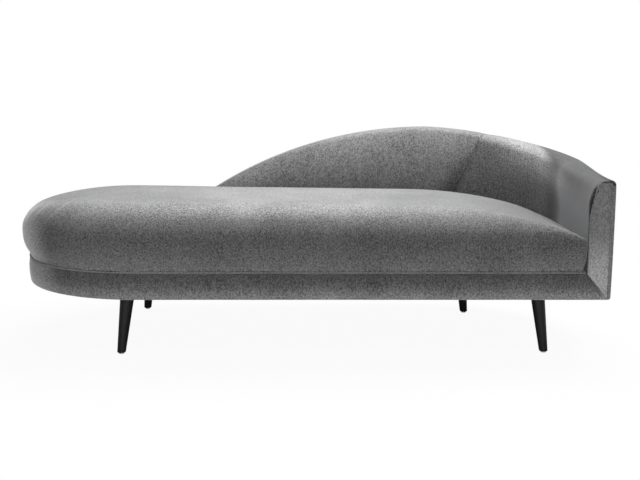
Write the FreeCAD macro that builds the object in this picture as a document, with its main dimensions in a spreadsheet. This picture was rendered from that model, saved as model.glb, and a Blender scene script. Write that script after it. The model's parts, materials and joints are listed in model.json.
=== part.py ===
# Chaise longue with a rounded foot, one loose bench cushion and a back that falls in one long curve.
# Frame: origin on the floor under the middle, X along the seat to the arm, Y to the back, Z up. Millimetres.

import FreeCAD, Part
import math
import os
import re

V = FreeCAD.Vector
UP = V(0, 0, 1)
REACH = 1200.0  # longer than any piece is from the origin, for cutting boxes
PAST = 1.0  # how far a cutting tool runs on past the faces that it cuts
HEADROOM_SPARE = 35.0  # how far the space under the top edge reaches past both faces of the wall
CORNER_STEPS = 8
ARM_STEPS = 4

# Driving dimensions, in the order a maker would read them.
DIMENSIONS = {
    # plan of the frame over its covers
    "arm_side_x": 925,
    "half_depth": 408,
    "foot_centre_x": -496,
    "corner_radius": 475,
    "back_thick": 75,
    # levels
    "band_bottom": 198,
    "seam_level": 275,
    "peak_height": 670,
    "arm_height": 552,
    "back_fall_radius": 1480,
    "nose_start_x": -330,
    "nose_radius": 120,
    # covers, padding and boards of the back
    "cover_thick": 1.5,
    "padding_depth": 10,
    "outer_board": 3,
    "inner_board": 4,
    "top_padding": 12,
    "layer_gap": 0.2,
    "valley_foot_x": 560,
    "valley_top_x": 660,
    # timber frame
    "rail_thick": 30,
    "rail_bottom": 200,
    "rail_height": 58,
    "stretcher_thick": 25,
    "left_stretcher_x": -400,
    "middle_stretcher_x": 100,
    "right_stretcher_x": 640,
    "sill_height": 32,
    "top_rail_height": 28,
    "post_width": 45,
    "second_post_x": -134,
    "third_post_x": 112,
    "side_post_angle": 26,
    "ledge_width": 22,
    "ledge_height": 22,
    "ledge_clearance": 2,
    "ledge_left_x": -300,
    "frame_left_x": -335,
    # legs and their fixings
    "splay_along": 6.5,
    "splay_across": 7,
    "leg_top_radius": 23,
    "leg_foot_radius": 13.25,
    "leg_blank_spare": 10,
    "glide_radius": 8,
    "glide_height": 4,
    "front_left_leg_x": -537,
    "front_left_leg_y": -275,
    "front_right_leg_x": 738,
    "front_right_leg_y": -259,
    "rear_left_leg_x": -561,
    "rear_left_leg_y": 257,
    "rear_right_leg_x": 565,
    "rear_right_leg_y": 200,
    "block_width": 100,
    "block_margin": 50,
    "plate_radius": 38,
    "plate_thick": 3,
    "boss_radius": 8,
    "boss_height": 14,
    "bolt_radius": 4,
    "bolt_in_leg": 36,
    "bolt_gap": 0.05,
    "boss_clearance": 0.2,
    "screw_circle": 29,
    "screw_radius": 2,
    "screw_length": 22,
    "screw_head_radius": 4,
    "screw_head": 1.4,
    # springs and deck
    "spring_count": 11,
    "spring_first_x": -720,
    "spring_pitch": 140,
    "spring_wire": 1.9,
    "spring_half_width": 34,
    "spring_bar_pitch": 40,
    "spring_lift": 3,
    "clip_length": 20,
    "clip_width": 10,
    "clip_height": 6,
    "tie_wire": 1.2,
    "tie_pitch": 190,
    "insulator_thick": 2,
    "deck_cloth_thick": 1.2,
    "dust_cover_thick": 1,
    "plate_opening": 42,
    # seat cushion
    "cushion_overhang": 21,
    "cushion_gap": 0.8,
    "cushion_seat_gap": 0.4,
    "cushion_crown": 185,
    "cushion_bulge": 94,
    "cushion_rise": 24,
    "cushion_draw_in": 22,
    "cushion_roll": 150,
    "cushion_held_draw": 7,
    "cushion_held_roll": 120,
    "cushion_corner": 6,
    "crown_fall_x": 430,
    "crown_fall_radius": 1000,
    "crown_rear_radius": 1390,
    "step_length": 250,
    "fibre_thick": 18,
    "cushion_lip": 7,
    "cushion_sides": 2.2,
    "cushion_welt_radius": 3,
    "welt_gap": 0.6,
    "zip_length": 520,
    "zip_width": 24,
    # facing of the arm
    "facing_corner": 14,
    "facing_foot": 12,
    "mitre_gap": 0.5,
    "facing_welt_radius": 2.5,
}

doc = FreeCAD.newDocument("chaise_longue")
sheet = doc.addObject("Spreadsheet::Sheet", "Sizes")
for row, (alias, number) in enumerate(DIMENSIONS.items(), 1):
    sheet.set(f"A{row}", alias)
    sheet.set(f"B{row}", str(number))
    sheet.setAlias(f"B{row}", alias)
doc.recompute()

pieces = []


def size(alias):
    """A driving dimension, read from the sheet."""
    return float(sheet.get(alias))


def bind(thing, prop, formula):
    """Ties a property to a formula in the sheet's aliases."""
    named = re.sub(r"[a-z_]{3,}", lambda word: f"Sizes.{word[0]}" if word[0] in DIMENSIONS else word[0], formula)
    thing.setExpression(prop, named)


def piece(thing, label):
    """Names a finished sub-part."""
    thing.Label = label
    pieces.append(thing)
    return thing


def shaped(label, shape):
    """A sub-part whose shape is worked out in code from the sheet's sizes."""
    thing = doc.addObject("Part::Feature", label)
    thing.Shape = shape
    thing.Placement = FreeCAD.Placement()
    return piece(thing, label)


# Named places that follow from the driving dimensions
ARM_X = size("arm_side_x")
DEPTH = size("half_depth")
FOOT_X = size("foot_centre_x")
CORNER_X = ARM_X - size("corner_radius")
CORNER_Y = DEPTH - size("corner_radius")
GAP = size("layer_gap")
COVER = size("cover_thick")
FRAME_IN = size("padding_depth")
FRAME_OUT = FRAME_IN + size("rail_thick")
BOARD_OUT = FRAME_OUT + GAP + size("inner_board")
RAIL_LOW = size("rail_bottom")
RAIL_TOP = RAIL_LOW + size("rail_height")
SEAM = size("seam_level")
SILL_TOP = RAIL_TOP + size("sill_height")
CLEAR_TOP = RAIL_TOP - size("ledge_height") - size("ledge_clearance")
BAND_LOW = size("band_bottom")


def line(a, b):
    return Part.makeLine(V(*a, 0), V(*b, 0))


def arc(centre, radius, start, end):
    """Arc about a centre from one angle to another, in degrees, less than half a turn."""
    marks = [math.radians(a) for a in (start, (start + end) / 2, end)]
    points = [V(centre[0] + radius * math.cos(a), centre[1] + radius * math.sin(a), 0) for a in marks]
    return Part.Arc(*points).toShape()


def prism(edges, low, high):
    """Solid that stands on a closed plan outline between two levels."""
    face = Part.Face(Part.Wire(edges))
    face.translate(V(0, 0, low))
    return face.extrude(V(0, 0, high - low))


def block(x0, x1, y0, y1, z0, z1):
    return Part.makeBox(x1 - x0, y1 - y0, z1 - z0, V(x0, y0, z0))


def frame_outline(inset):
    """Plan of the base: straight front, half-round foot, straight rear, one big rear corner, straight arm side."""
    y = DEPTH - inset
    x = ARM_X - inset
    radius = size("corner_radius") - inset
    return [
        line((x, -y), (FOOT_X, -y)),
        arc((FOOT_X, 0), y, 270, 180),
        arc((FOOT_X, 0), y, 180, 90),
        line((FOOT_X, y), (CORNER_X, y)),
        arc((CORNER_X, CORNER_Y), radius, 90, 0),
        line((x, CORNER_Y), (x, -y)),
    ]


def base_ring(outer, inner, low, high):
    """Band of the base between two insets and two levels."""
    return prism(frame_outline(outer), low, high).cut(prism(frame_outline(inner), low - 1, high + 1))


def seat_outline(inset, held=None, skin=0):
    """Plan of the cushion: it overhangs the base, and steps in, by two equal arcs, to lie inside back and arm.

    The inset counts from the cushion's widest line on the open sides, and held on the sides against back and arm.
    A skin moves the whole outline in, parallel to itself."""
    held = inset if held is None else held
    y = DEPTH + size("cushion_overhang") - inset
    inner = DEPTH - size("back_thick") - size("cushion_gap") - held
    run = size("step_length")
    step = y - inner
    bend = (run ** 2 + step ** 2) / 4 / step
    turn = math.degrees(math.asin(run / 2 / bend))
    x = ARM_X - size("back_thick") - size("cushion_gap") - held - skin
    front = skin - y
    fillet = size("cushion_corner") + inset / 4
    radius = inner - CORNER_Y - skin
    return [
        line((x - fillet, front), (FOOT_X, front)),
        arc((FOOT_X, 0), y - skin, 270, 180),
        arc((FOOT_X, 0), y - skin, 180, 90),
        arc((FOOT_X, y - bend), bend - skin, 90, 90 - turn),
        arc((FOOT_X + run, inner + bend), bend + skin, 270 - turn, 270),
        line((FOOT_X + run, inner - skin), (CORNER_X, inner - skin)),
        arc((CORNER_X, CORNER_Y), radius, 90, 0),
        line((x, CORNER_Y), (x, front + fillet)),
        arc((x - fillet, front + fillet), fillet, 0, -90),
    ]


# Top edge of back and arm

def fall_height(x):
    """Height of the back's edge behind the seat: one long arc that is highest where the corner begins."""
    radius = size("back_fall_radius")
    return size("peak_height") - radius + math.sqrt(radius ** 2 - (x - CORNER_X) ** 2)


def back_profile():
    """Area under the long arc, seen from the front, with its rounded nose at the foot side."""
    radius = size("back_fall_radius")
    start_x = size("nose_start_x")
    start = V(start_x, 0, fall_height(start_x))
    middle_x = (start_x + CORNER_X) / 2
    lean = math.asin((CORNER_X - start_x) / radius)
    nose = size("nose_radius")
    centre = V(start_x + nose * math.sin(lean), 0, start.z - nose * math.cos(lean))
    half = (math.pi / 2 + lean) / 2
    on_nose = V(centre.x - nose * math.sin(half), 0, centre.z + nose * math.cos(half))
    tip = V(centre.x - nose, 0, centre.z)
    peak = V(CORNER_X, 0, size("peak_height"))
    edges = [
        Part.makeLine(V(CORNER_X, 0, 0), peak),
        Part.Arc(peak, V(middle_x, 0, fall_height(middle_x)), start).toShape(),
        Part.Arc(start, on_nose, tip).toShape(),
        Part.makeLine(tip, V(tip.x, 0, 0)),
        Part.makeLine(V(tip.x, 0, 0), V(CORNER_X, 0, 0)),
    ]
    return edges, tip.x


def corner_top(share):
    """Height of the edge round the corner and along the arm: level at the peak, then falling ever more gently."""
    drop = size("peak_height") - size("arm_height")
    return size("arm_height") + drop * (1 - share ** 1.5) ** 2


def corner_stations():
    """Places along the corner and the arm: point on the outer face, outward direction, share of the way."""
    radius = size("corner_radius")
    quarter = radius * math.pi / 2
    arm = CORNER_Y + DEPTH
    stations = []
    for step in range(CORNER_STEPS + 1):
        share = step / CORNER_STEPS
        angle = math.pi / 2 * (1 - share)
        out = V(math.cos(angle), math.sin(angle), 0)
        stations.append((V(CORNER_X, CORNER_Y, 0) + out * radius, out, quarter * share / (quarter + arm)))
    for step in range(1, ARM_STEPS + 1):
        along = arm * step / ARM_STEPS
        stations.append((V(ARM_X, CORNER_Y - along, 0), V(1, 0, 0), (quarter + along) / (quarter + arm)))
    return stations


def make_headroom():
    """Everything under the top edge of back and arm, wider than they are on both sides."""
    inside = size("back_thick") + HEADROOM_SPARE
    outside = HEADROOM_SPARE
    edges, tip_x = back_profile()
    face = Part.Face(Part.Wire(edges))
    face.translate(V(0, DEPTH - inside, 0))
    rear = face.extrude(V(0, inside + outside, 0))
    sections = []
    for place, out, share in corner_stations():
        near = place - out * inside
        far = place + out * outside
        top = UP * corner_top(share)
        sections.append(Part.makePolygon([near, far, far + top, near + top, near]))
    return rear.fuse(Part.makeLoft(sections, True, False)), tip_x


HEADROOM, TIP_X = make_headroom()


def under_edge(drop):
    """The space under the top edge, lowered by a drop."""
    space = HEADROOM.copy()
    space.translate(V(0, 0, -drop))
    return space


PAD_FRONT = -DEPTH + FRAME_IN
SKIN_FRONT = -DEPTH + COVER + GAP
FRAME_LEFT = size("frame_left_x")
seat_spaces = {}


def seat_space(skin):
    """The space of the cushion and the sitter, widened into back and arm by a skin's thickness."""
    if skin not in seat_spaces:
        seat_spaces[skin] = prism(seat_outline(0, 0, -size("cushion_gap") - skin), -1, REACH)
    return seat_spaces[skin]


def wall(outer, inner, low, high=REACH, drop=None, left=TIP_X, front=PAD_FRONT, skin=0):
    """Layer of the back and arm between two insets, cut to the top edge lowered by a drop."""
    ring = base_ring(outer, inner, low, high)
    ring = ring.cut(block(0, ARM_X - inner, -REACH, CORNER_Y, low - 1, high + 1))
    back = block(left, REACH, 0, REACH, low - 1, high + 1)
    arm = block(CORNER_X, REACH, front, 0, low - 1, high + 1)
    layer = ring.common(back.fuse(arm)).cut(seat_space(skin))
    return layer if drop is None else layer.common(under_edge(drop))


# Timber frame of the base

def make_base_frame():
    """Straight rails as boards, and the bent rails of the foot and the corner."""
    straight = {
        "front_rail": ("arm_side_x - padding_depth - foot_centre_x", "rail_thick",
                       "foot_centre_x", "padding_depth - half_depth"),
        "rear_rail": ("arm_side_x - corner_radius - foot_centre_x", "rail_thick",
                      "foot_centre_x", "half_depth - padding_depth - rail_thick"),
        "arm_side_rail": ("rail_thick", "2 * half_depth - corner_radius - padding_depth - rail_thick",
                          "arm_side_x - padding_depth - rail_thick", "padding_depth + rail_thick - half_depth"),
    }
    for label, (length, width, x, y) in straight.items():
        rail = doc.addObject("Part::Box", label)
        bind(rail, "Length", length)
        bind(rail, "Width", width)
        bind(rail, "Height", "rail_height")
        bind(rail, "Placement.Base.x", x)
        bind(rail, "Placement.Base.y", y)
        bind(rail, "Placement.Base.z", "rail_bottom")
        piece(rail, label)
    ring = base_ring(FRAME_IN, FRAME_OUT, RAIL_LOW, RAIL_TOP)
    shaped("foot_bow_rail", ring.common(block(-REACH, FOOT_X, -REACH, REACH, 0, REACH)))
    shaped("corner_bow_rail", ring.common(block(CORNER_X, REACH, CORNER_Y, REACH, 0, REACH)))


def make_stretchers():
    """Cross boards between the long rails, under the spring ledge; the right one meets the bent corner rail."""
    for side in ("left", "middle"):
        board = doc.addObject("Part::Box", f"{side}_stretcher")
        bind(board, "Length", "stretcher_thick")
        bind(board, "Width", "2 * (half_depth - padding_depth - rail_thick)")
        bind(board, "Height", "rail_height - ledge_height - ledge_clearance")
        bind(board, "Placement.Base.x", f"{side}_stretcher_x - stretcher_thick / 2")
        bind(board, "Placement.Base.y", "padding_depth + rail_thick - half_depth")
        bind(board, "Placement.Base.z", "rail_bottom")
        piece(board, f"{side}_stretcher")
    x = size("right_stretcher_x")
    half = size("stretcher_thick") / 2
    board = block(x - half, x + half, -DEPTH, DEPTH, RAIL_LOW, CLEAR_TOP)
    shaped("right_stretcher", board.common(prism(frame_outline(FRAME_OUT), 0, RAIL_TOP)))


# Legs and their fixings

def leg_placement(corner, z):
    """Leg axis through the frame's underside, leaning out both ways."""
    x = size(f"{corner}_leg_x")
    y = size(f"{corner}_leg_y")
    out_x = math.copysign(math.tan(math.radians(size("splay_along"))), x)
    out_y = math.copysign(math.tan(math.radians(size("splay_across"))), y)
    lean = V(-out_x, -out_y, 1)
    drop = z - RAIL_LOW
    return FreeCAD.Placement(V(x, y, RAIL_LOW) + lean * drop, FreeCAD.Rotation(UP, lean))


CORNERS = ("front_left", "front_right", "rear_left", "rear_right")


def bind_to_axis(thing, corner, level, height):
    """Ties a round primitive to a leg's axis: where it starts, how long it is, and how it leans."""
    along, across = "tan(splay_along * 1deg)", "tan(splay_across * 1deg)"
    x_sign = "+" if size(f"{corner}_leg_x") > 0 else "-"
    y_sign = "+" if size(f"{corner}_leg_y") > 0 else "-"
    bind(thing, "Height", f"({height}) * sqrt(1 + {along} ^ 2 + {across} ^ 2)")
    bind(thing, "Placement.Base.x", f"{corner}_leg_x {x_sign} (rail_bottom - ({level})) * {along}")
    bind(thing, "Placement.Base.y", f"{corner}_leg_y {y_sign} (rail_bottom - ({level})) * {across}")
    bind(thing, "Placement.Base.z", level)
    bind(thing, "Placement.Rotation.Axis.x", f"0 {y_sign} {across}")
    bind(thing, "Placement.Rotation.Axis.y", f"0 - (0 {x_sign} {along})")
    bind(thing, "Placement.Rotation.Axis.z", "0")
    bind(thing, "Placement.Rotation.Angle", f"atan(sqrt({along} ^ 2 + {across} ^ 2))")


def make_leg(corner):
    """Tapered leg that leans out both ways, cut level at top and foot, and bored from above for its bolt."""
    blank = doc.addObject("Part::Cone", f"{corner}_blank")
    taper = "leg_blank_spare * (leg_top_radius - leg_foot_radius) / (rail_bottom - glide_height)"
    bind(blank, "Radius1", f"leg_foot_radius - {taper}")
    bind(blank, "Radius2", f"leg_top_radius + {taper}")
    bind_to_axis(blank, corner, "glide_height - leg_blank_spare", "rail_bottom - glide_height + 2 * leg_blank_spare")
    level = doc.addObject("Part::Box", f"{corner}_levels")
    bind(level, "Length", "2 * arm_side_x")
    bind(level, "Width", "2 * half_depth")
    bind(level, "Height", "rail_bottom - glide_height")
    bind(level, "Placement.Base.x", "-arm_side_x")
    bind(level, "Placement.Base.y", "-half_depth")
    bind(level, "Placement.Base.z", "glide_height")
    tapered = doc.addObject("Part::Common", f"{corner}_tapered")
    tapered.Base = blank
    tapered.Tool = level
    bore = doc.addObject("Part::Cylinder", f"{corner}_bore")
    bind(bore, "Radius", "bolt_radius + bolt_gap")
    bind_to_axis(bore, corner, "rail_bottom - bolt_in_leg", "bolt_in_leg + leg_blank_spare")
    leg = doc.addObject("Part::Cut", f"{corner}_leg")
    leg.Base = tapered
    leg.Tool = bore
    piece(leg, f"{corner}_leg")


def make_glide(corner):
    """Round glide that lies flat on the floor under a leg."""
    glide = doc.addObject("Part::Cylinder", f"{corner}_glide")
    bind(glide, "Radius", "glide_radius")
    bind(glide, "Height", "glide_height")
    tilt_x = "tan(splay_along * 1deg)"
    tilt_y = "tan(splay_across * 1deg)"
    fall = "(rail_bottom - glide_height)"
    sign_x = "+" if size(f"{corner}_leg_x") > 0 else "-"
    sign_y = "+" if size(f"{corner}_leg_y") > 0 else "-"
    bind(glide, "Placement.Base.x", f"{corner}_leg_x {sign_x} {fall} * {tilt_x}")
    bind(glide, "Placement.Base.y", f"{corner}_leg_y {sign_y} {fall} * {tilt_y}")
    piece(glide, f"{corner}_glide")


def fixing_tool(corner, radius, low, high):
    """Round tool along a leg's axis between two levels."""
    place = leg_placement(corner, low)
    height = (high - low) / place.Rotation.multVec(UP).z
    tool = Part.makeCylinder(radius, height)
    tool.Placement = place
    return tool


def screw_places(corner):
    """Four screws on a circle round the leg's axis, at the frame's underside."""
    centre = leg_placement(corner, RAIL_LOW).Base
    for quarter in range(4):
        angle = math.pi / 4 + quarter * math.pi / 2
        yield centre + V(math.cos(angle), math.sin(angle), 0) * size("screw_circle")


def make_leg_fixings():
    """Corner blocks, round leg plates with a leaning threaded boss, hanger bolts and plate screws."""
    plate_top = RAIL_LOW + size("plate_thick")
    boss_top = plate_top + size("boss_height")
    room = prism(frame_outline(FRAME_OUT), 0, RAIL_TOP)
    clear = size("bolt_gap")
    boss_room = size("boss_radius") + size("boss_clearance")
    plates, bolts, screws = [], [], []
    for corner in CORNERS:
        x, y = size(f"{corner}_leg_x"), size(f"{corner}_leg_y")
        half = size("block_width") / 2
        to_rail = math.copysign(DEPTH, y)
        low_y, high_y = sorted((to_rail, y - math.copysign(size("block_margin"), y)))
        timber = block(x - half, x + half, low_y, high_y, plate_top, CLEAR_TOP).common(room)
        timber = timber.cut(fixing_tool(corner, boss_room, plate_top - PAST, CLEAR_TOP + PAST))
        plate = Part.makeCylinder(size("plate_radius"), size("plate_thick"), leg_placement(corner, RAIL_LOW).Base)
        plate = plate.fuse(fixing_tool(corner, size("boss_radius"), plate_top - PAST, boss_top))
        plate = plate.cut(fixing_tool(corner, size("bolt_radius") + clear, RAIL_LOW - PAST, boss_top + PAST))
        for place in screw_places(corner):
            shank = Part.makeCylinder(size("screw_radius"), size("screw_length"), place)
            head = Part.makeCylinder(size("screw_head_radius"), size("screw_head"), place - UP * size("screw_head"))
            hole = Part.makeCylinder(size("screw_radius") + clear, size("screw_length") + PAST, place - UP * PAST)
            plate = plate.cut(hole)
            timber = timber.cut(hole)
            screws.append(shank.fuse(head))
        shaped(f"{corner}_leg_block", timber)
        plates.append(plate)
        bolt_low = RAIL_LOW - size("bolt_in_leg")
        bolts.append(fixing_tool(corner, size("bolt_radius"), bolt_low, boss_top))
    shaped("leg_plates", Part.makeCompound(plates))
    shaped("leg_hanger_bolts", Part.makeCompound(bolts))
    shaped("leg_plate_screws", Part.makeCompound(screws))


# Springs and deck

def pipe(edges, radius):
    """Round cord or wire along a path of lines and arcs that run on smoothly."""
    path = Part.Wire(edges)
    first = path.OrderedEdges[0]
    start = first.valueAt(first.FirstParameter)
    along = first.tangentAt(first.FirstParameter)
    if first.Orientation == "Reversed":
        start = first.valueAt(first.LastParameter)
        along = -first.tangentAt(first.LastParameter)
    shell = Part.BRepOffsetAPI.MakePipeShell(path)
    shell.add(Part.Wire(Part.makeCircle(radius, start, along)))
    shell.build()
    shell.makeSolid()
    return shell.shape()


def front_hold():
    """Middle line of the clips on the front rail."""
    return -DEPTH + FRAME_IN + size("rail_thick") / 2


def side_depth(x, inset):
    """Distance from the long axis to a curve parallel to the base's plan, at the foot or along the straight rear."""
    reach = DEPTH - inset
    if x < FOOT_X:
        return math.sqrt(reach ** 2 - (x - FOOT_X) ** 2)
    return reach


def rear_hold(x):
    """Middle line of the rear clips: on the rails at the foot, on the spring ledge inside back and corner."""
    if x < size("ledge_left_x"):
        return side_depth(x, FRAME_IN + size("rail_thick") / 2)
    inset = FRAME_OUT + size("ledge_width") / 2
    if x < CORNER_X:
        return DEPTH - inset
    return CORNER_Y + math.sqrt((size("corner_radius") - inset) ** 2 - (x - CORNER_X) ** 2)


def sinuous_spring(x, low_y, high_y, z):
    """Flat zigzag of wire: cross bars joined by half-round turns, half a bar at each end."""
    turns = max(2, 2 * round((high_y - low_y) / size("spring_bar_pitch") / 2))
    pitch = (high_y - low_y) / turns
    bend = pitch / 2
    half = size("spring_half_width") - bend
    edges = []
    side = 1
    here = V(x, low_y, z)
    for turn in range(turns):
        corner = V(x + side * half, here.y, z)
        centre = V(corner.x, here.y + bend, z)
        peak = centre + V(side * bend, 0, 0)
        after = V(corner.x, here.y + pitch, z)
        diagonal = V(side * bend, 0, 0) / math.sqrt(2)
        lower = centre + diagonal - V(0, bend / math.sqrt(2), 0)
        upper = centre + diagonal + V(0, bend / math.sqrt(2), 0)
        edges.append(Part.makeLine(here, corner))
        edges.append(Part.Arc(corner, lower, peak).toShape())
        edges.append(Part.Arc(peak, upper, after).toShape())
        here = after
        side = -side
    edges.append(Part.makeLine(here, V(x + side * half, here.y, z)))
    return pipe(edges, size("spring_wire"))


def make_springs():
    """Zigzag springs across the seat, held by clips on rails and ledge, with tie wires laid over them."""
    shaped("spring_ledge", wall(FRAME_OUT, FRAME_OUT + size("ledge_width"), RAIL_TOP - size("ledge_height"),
                                RAIL_TOP, left=size("ledge_left_x"), front=-DEPTH + FRAME_OUT))
    z = RAIL_TOP + size("spring_lift")
    springs, clips = [], []
    places = [size("spring_first_x") + i * size("spring_pitch") for i in range(int(size("spring_count")))]
    for x in places:
        low_y = front_hold() if x > FOOT_X else -side_depth(x, FRAME_IN + size("rail_thick") / 2)
        high_y = rear_hold(x)
        springs.append(sinuous_spring(x, low_y, high_y, z))
        for y in (low_y, high_y):
            long, wide = size("clip_length") / 2, size("clip_width") / 2
            clip = block(x - long, x + long, y - wide, y + wide, RAIL_TOP, RAIL_TOP + size("clip_height"))
            wire = Part.makeCylinder(size("spring_wire") + size("bolt_gap"), 2 * REACH, V(-REACH, y, z), V(1, 0, 0))
            clips.append(clip.cut(wire))
    shaped("sinuous_springs", Part.makeCompound(springs))
    shaped("spring_clips", Part.makeCompound(clips))
    ties = []
    tie_z = z + size("spring_wire") + GAP + size("tie_wire")
    half = size("spring_half_width")
    for y in (-size("tie_pitch"), 0, size("tie_pitch")):
        inside = [x for x in places if rear_hold(x) > abs(y) + size("clip_width")]
        length = inside[-1] - inside[0] + 2 * half
        ties.append(Part.makeCylinder(size("tie_wire"), length, V(inside[0] - half, y, tie_z), V(1, 0, 0)))
    shaped("spring_tie_wires", Part.makeCompound(ties))
    return tie_z + size("tie_wire")


def deck_sheet(low, high):
    """Sheet over the whole seat frame, up to the inner board of back and arm."""
    sheet_plan = prism(frame_outline(COVER + GAP), low, high)
    behind = wall(-1, BOARD_OUT + GAP, low - 1, high + 1, front=-REACH)
    facing = block(ARM_X - size("back_thick"), REACH, -REACH, PAD_FRONT, low - 1, high + 1)
    return sheet_plan.cut(behind).cut(facing)


def make_deck(spring_top):
    """Felt over the springs, thin pad and deck cloth."""
    felt_low = spring_top + GAP
    felt_top = felt_low + size("insulator_thick")
    cloth_top = SEAM - GAP
    cloth_low = cloth_top - size("deck_cloth_thick")
    shaped("spring_insulator_felt", deck_sheet(felt_low, felt_top))
    shaped("deck_pad", deck_sheet(felt_top + GAP, cloth_low - GAP))
    shaped("deck_cloth", deck_sheet(cloth_low, cloth_top))
    return felt_low


def make_dust_cover():
    """Thin cloth under the frame, cut out round each leg plate."""
    cloth = prism(frame_outline(COVER + GAP), BAND_LOW, BAND_LOW + size("dust_cover_thick"))
    for corner in CORNERS:
        centre = leg_placement(corner, RAIL_LOW).Base
        centre.z = BAND_LOW - PAST
        depth = size("dust_cover_thick") + 2 * PAST
        cloth = cloth.cut(Part.makeCylinder(size("plate_opening"), depth, centre))
    facing = block(ARM_X - size("back_thick"), REACH, -REACH, PAD_FRONT, 0, SEAM)
    shaped("dust_cover", cloth.cut(facing))


def mitre_x(level):
    """Where the mitre seam between the arm's facing and the band crosses a level."""
    drop = (SEAM - level) / (SEAM - BAND_LOW)
    return ARM_X - size("back_thick") + drop * (size("back_thick") - size("facing_foot"))


def make_band(felt_low):
    """Upholstered band of the base, from the arm's mitre seam round the foot to the start of the back."""
    above, below = SEAM + PAST, BAND_LOW - PAST
    seam = [V(mitre_x(level) - size("mitre_gap"), 0, level) for level in (below, above)]
    corners = seam + [V(REACH, 0, above), V(REACH, 0, below)]
    arm_end = Part.Face(Part.makePolygon(corners + corners[:1])).extrude(V(0, -REACH, 0))
    foot = block(-REACH, FOOT_X, -REACH, 0, 0, above)
    front = foot.fuse(block(FOOT_X, REACH, -REACH, PAD_FRONT, 0, above)).cut(arm_end)
    rear = block(-REACH, TIP_X - GAP, 0, REACH, 0, above)
    foam_low = BAND_LOW + size("dust_cover_thick") + GAP
    layers = {
        "band_foam": base_ring(COVER + GAP, FRAME_IN - GAP, foam_low, felt_low - GAP),
        "band_cover": base_ring(0, COVER, BAND_LOW, SEAM),
    }
    for label, ring in layers.items():
        shaped(label, ring.common(front).fuse(ring.common(rear)).removeSplitter())


# Back and arm

def make_wall_frame():
    """Sill on the base rails, posts along the curve, and a bent top rail that falls with the edge.

    One post of the corner stands behind the top of the valley, where the valley's cover is tacked."""
    shaped("back_sill", wall(FRAME_IN, FRAME_OUT, RAIL_TOP, SILL_TOP, left=FRAME_LEFT))
    drop = size("top_padding")
    under = drop + size("top_rail_height")
    full = wall(FRAME_IN, FRAME_OUT, SILL_TOP, drop=drop, left=FRAME_LEFT)
    shaped("back_top_rail", full.cut(under_edge(under)))
    stand = full.common(under_edge(under + GAP))
    half = size("post_width") / 2
    rear = {
        "back_post_low": FRAME_LEFT + half,
        "back_post_second": size("second_post_x"),
        "back_post_third": size("third_post_x"),
        "back_post_tall": CORNER_X - half,
    }
    for label, x in rear.items():
        post = block(x - half, x + half, 0, REACH, 0, REACH)
        shaped(label, stand.common(post))
    inner = size("corner_radius") - size("back_thick")
    valley_angle = math.degrees(math.acos((size("valley_top_x") - CORNER_X) / inner))
    for label, angle in (("corner_post_rear", valley_angle), ("corner_post_side", size("side_post_angle"))):
        post = block(0, REACH, -half, half, 0, REACH)
        post.Placement = FreeCAD.Placement(V(CORNER_X, CORNER_Y, 0), FreeCAD.Rotation(UP, angle))
        shaped(label, stand.common(post))
    front = PAD_FRONT + half
    for label, y in (("arm_post_middle", (CORNER_Y + front) / 2), ("arm_post_front", front)):
        post = block(CORNER_X, REACH, y - half, y + half, 0, REACH)
        shaped(label, stand.common(post))


def beyond_valley():
    """Half of space on the arm's side of the sewn valley, which leans as it rises."""
    foot_x, top_x = size("valley_foot_x"), size("valley_top_x")
    inner = size("corner_radius") - size("back_thick")

    def on_face(x, z):
        return V(x, CORNER_Y + math.sqrt(inner ** 2 - (x - CORNER_X) ** 2), z)

    foot = on_face(foot_x, SEAM + size("cushion_bulge"))
    top = on_face(top_x, size("peak_height") - size("top_padding"))
    outward = V((foot_x + top_x) / 2 - CORNER_X, (foot.y + top.y) / 2 - CORNER_Y, 0)
    normal = outward.cross(top - foot)
    half_space = block(0, REACH, -REACH, REACH, -REACH, REACH)
    half_space.Placement = FreeCAD.Placement(foot, FreeCAD.Rotation(V(1, 0, 0), normal))
    return half_space


def make_wall_layers():
    """Boards, padding and covers of back and arm, from the outer face to the seat side."""
    drop = size("top_padding")
    pad_low = BAND_LOW + size("dust_cover_thick") + GAP
    board_in = FRAME_IN - GAP
    board_out = board_in - size("outer_board")
    skin = COVER + GAP
    shaped("outer_back_cover", wall(0, COVER, BAND_LOW, drop=0, front=SKIN_FRONT))
    tip = TIP_X + skin
    shaped("outer_back_pad", wall(skin, board_out - GAP, pad_low, drop=drop, left=tip))
    shaped("outer_back_board", wall(board_out, board_in, RAIL_LOW, drop=drop, left=FRAME_LEFT))
    shaped("inner_back_board", wall(FRAME_OUT + GAP, BOARD_OUT, SILL_TOP, drop=drop, left=FRAME_LEFT))
    past = size("back_thick") + PAST
    top_roll = wall(skin, past, SEAM, drop=skin + GAP, skin=skin, left=tip).cut(under_edge(drop - GAP))
    shaped("top_roll_pad", top_roll)
    valley = beyond_valley()
    foam = wall(BOARD_OUT + GAP, past, SEAM, drop=drop, skin=skin, left=tip)
    whole = wall(skin, past, SEAM, drop=0, front=SKIN_FRONT)
    hollow = wall(-PAST, past, SEAM - PAST, drop=COVER, left=TIP_X + COVER, front=-REACH, skin=COVER)
    lining = whole.cut(hollow)
    shaped("back_foam", foam.cut(valley))
    shaped("corner_foam", foam.common(valley))
    shaped("inner_back_cover", lining.cut(valley))
    shaped("inner_corner_cover", lining.common(valley))


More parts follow.
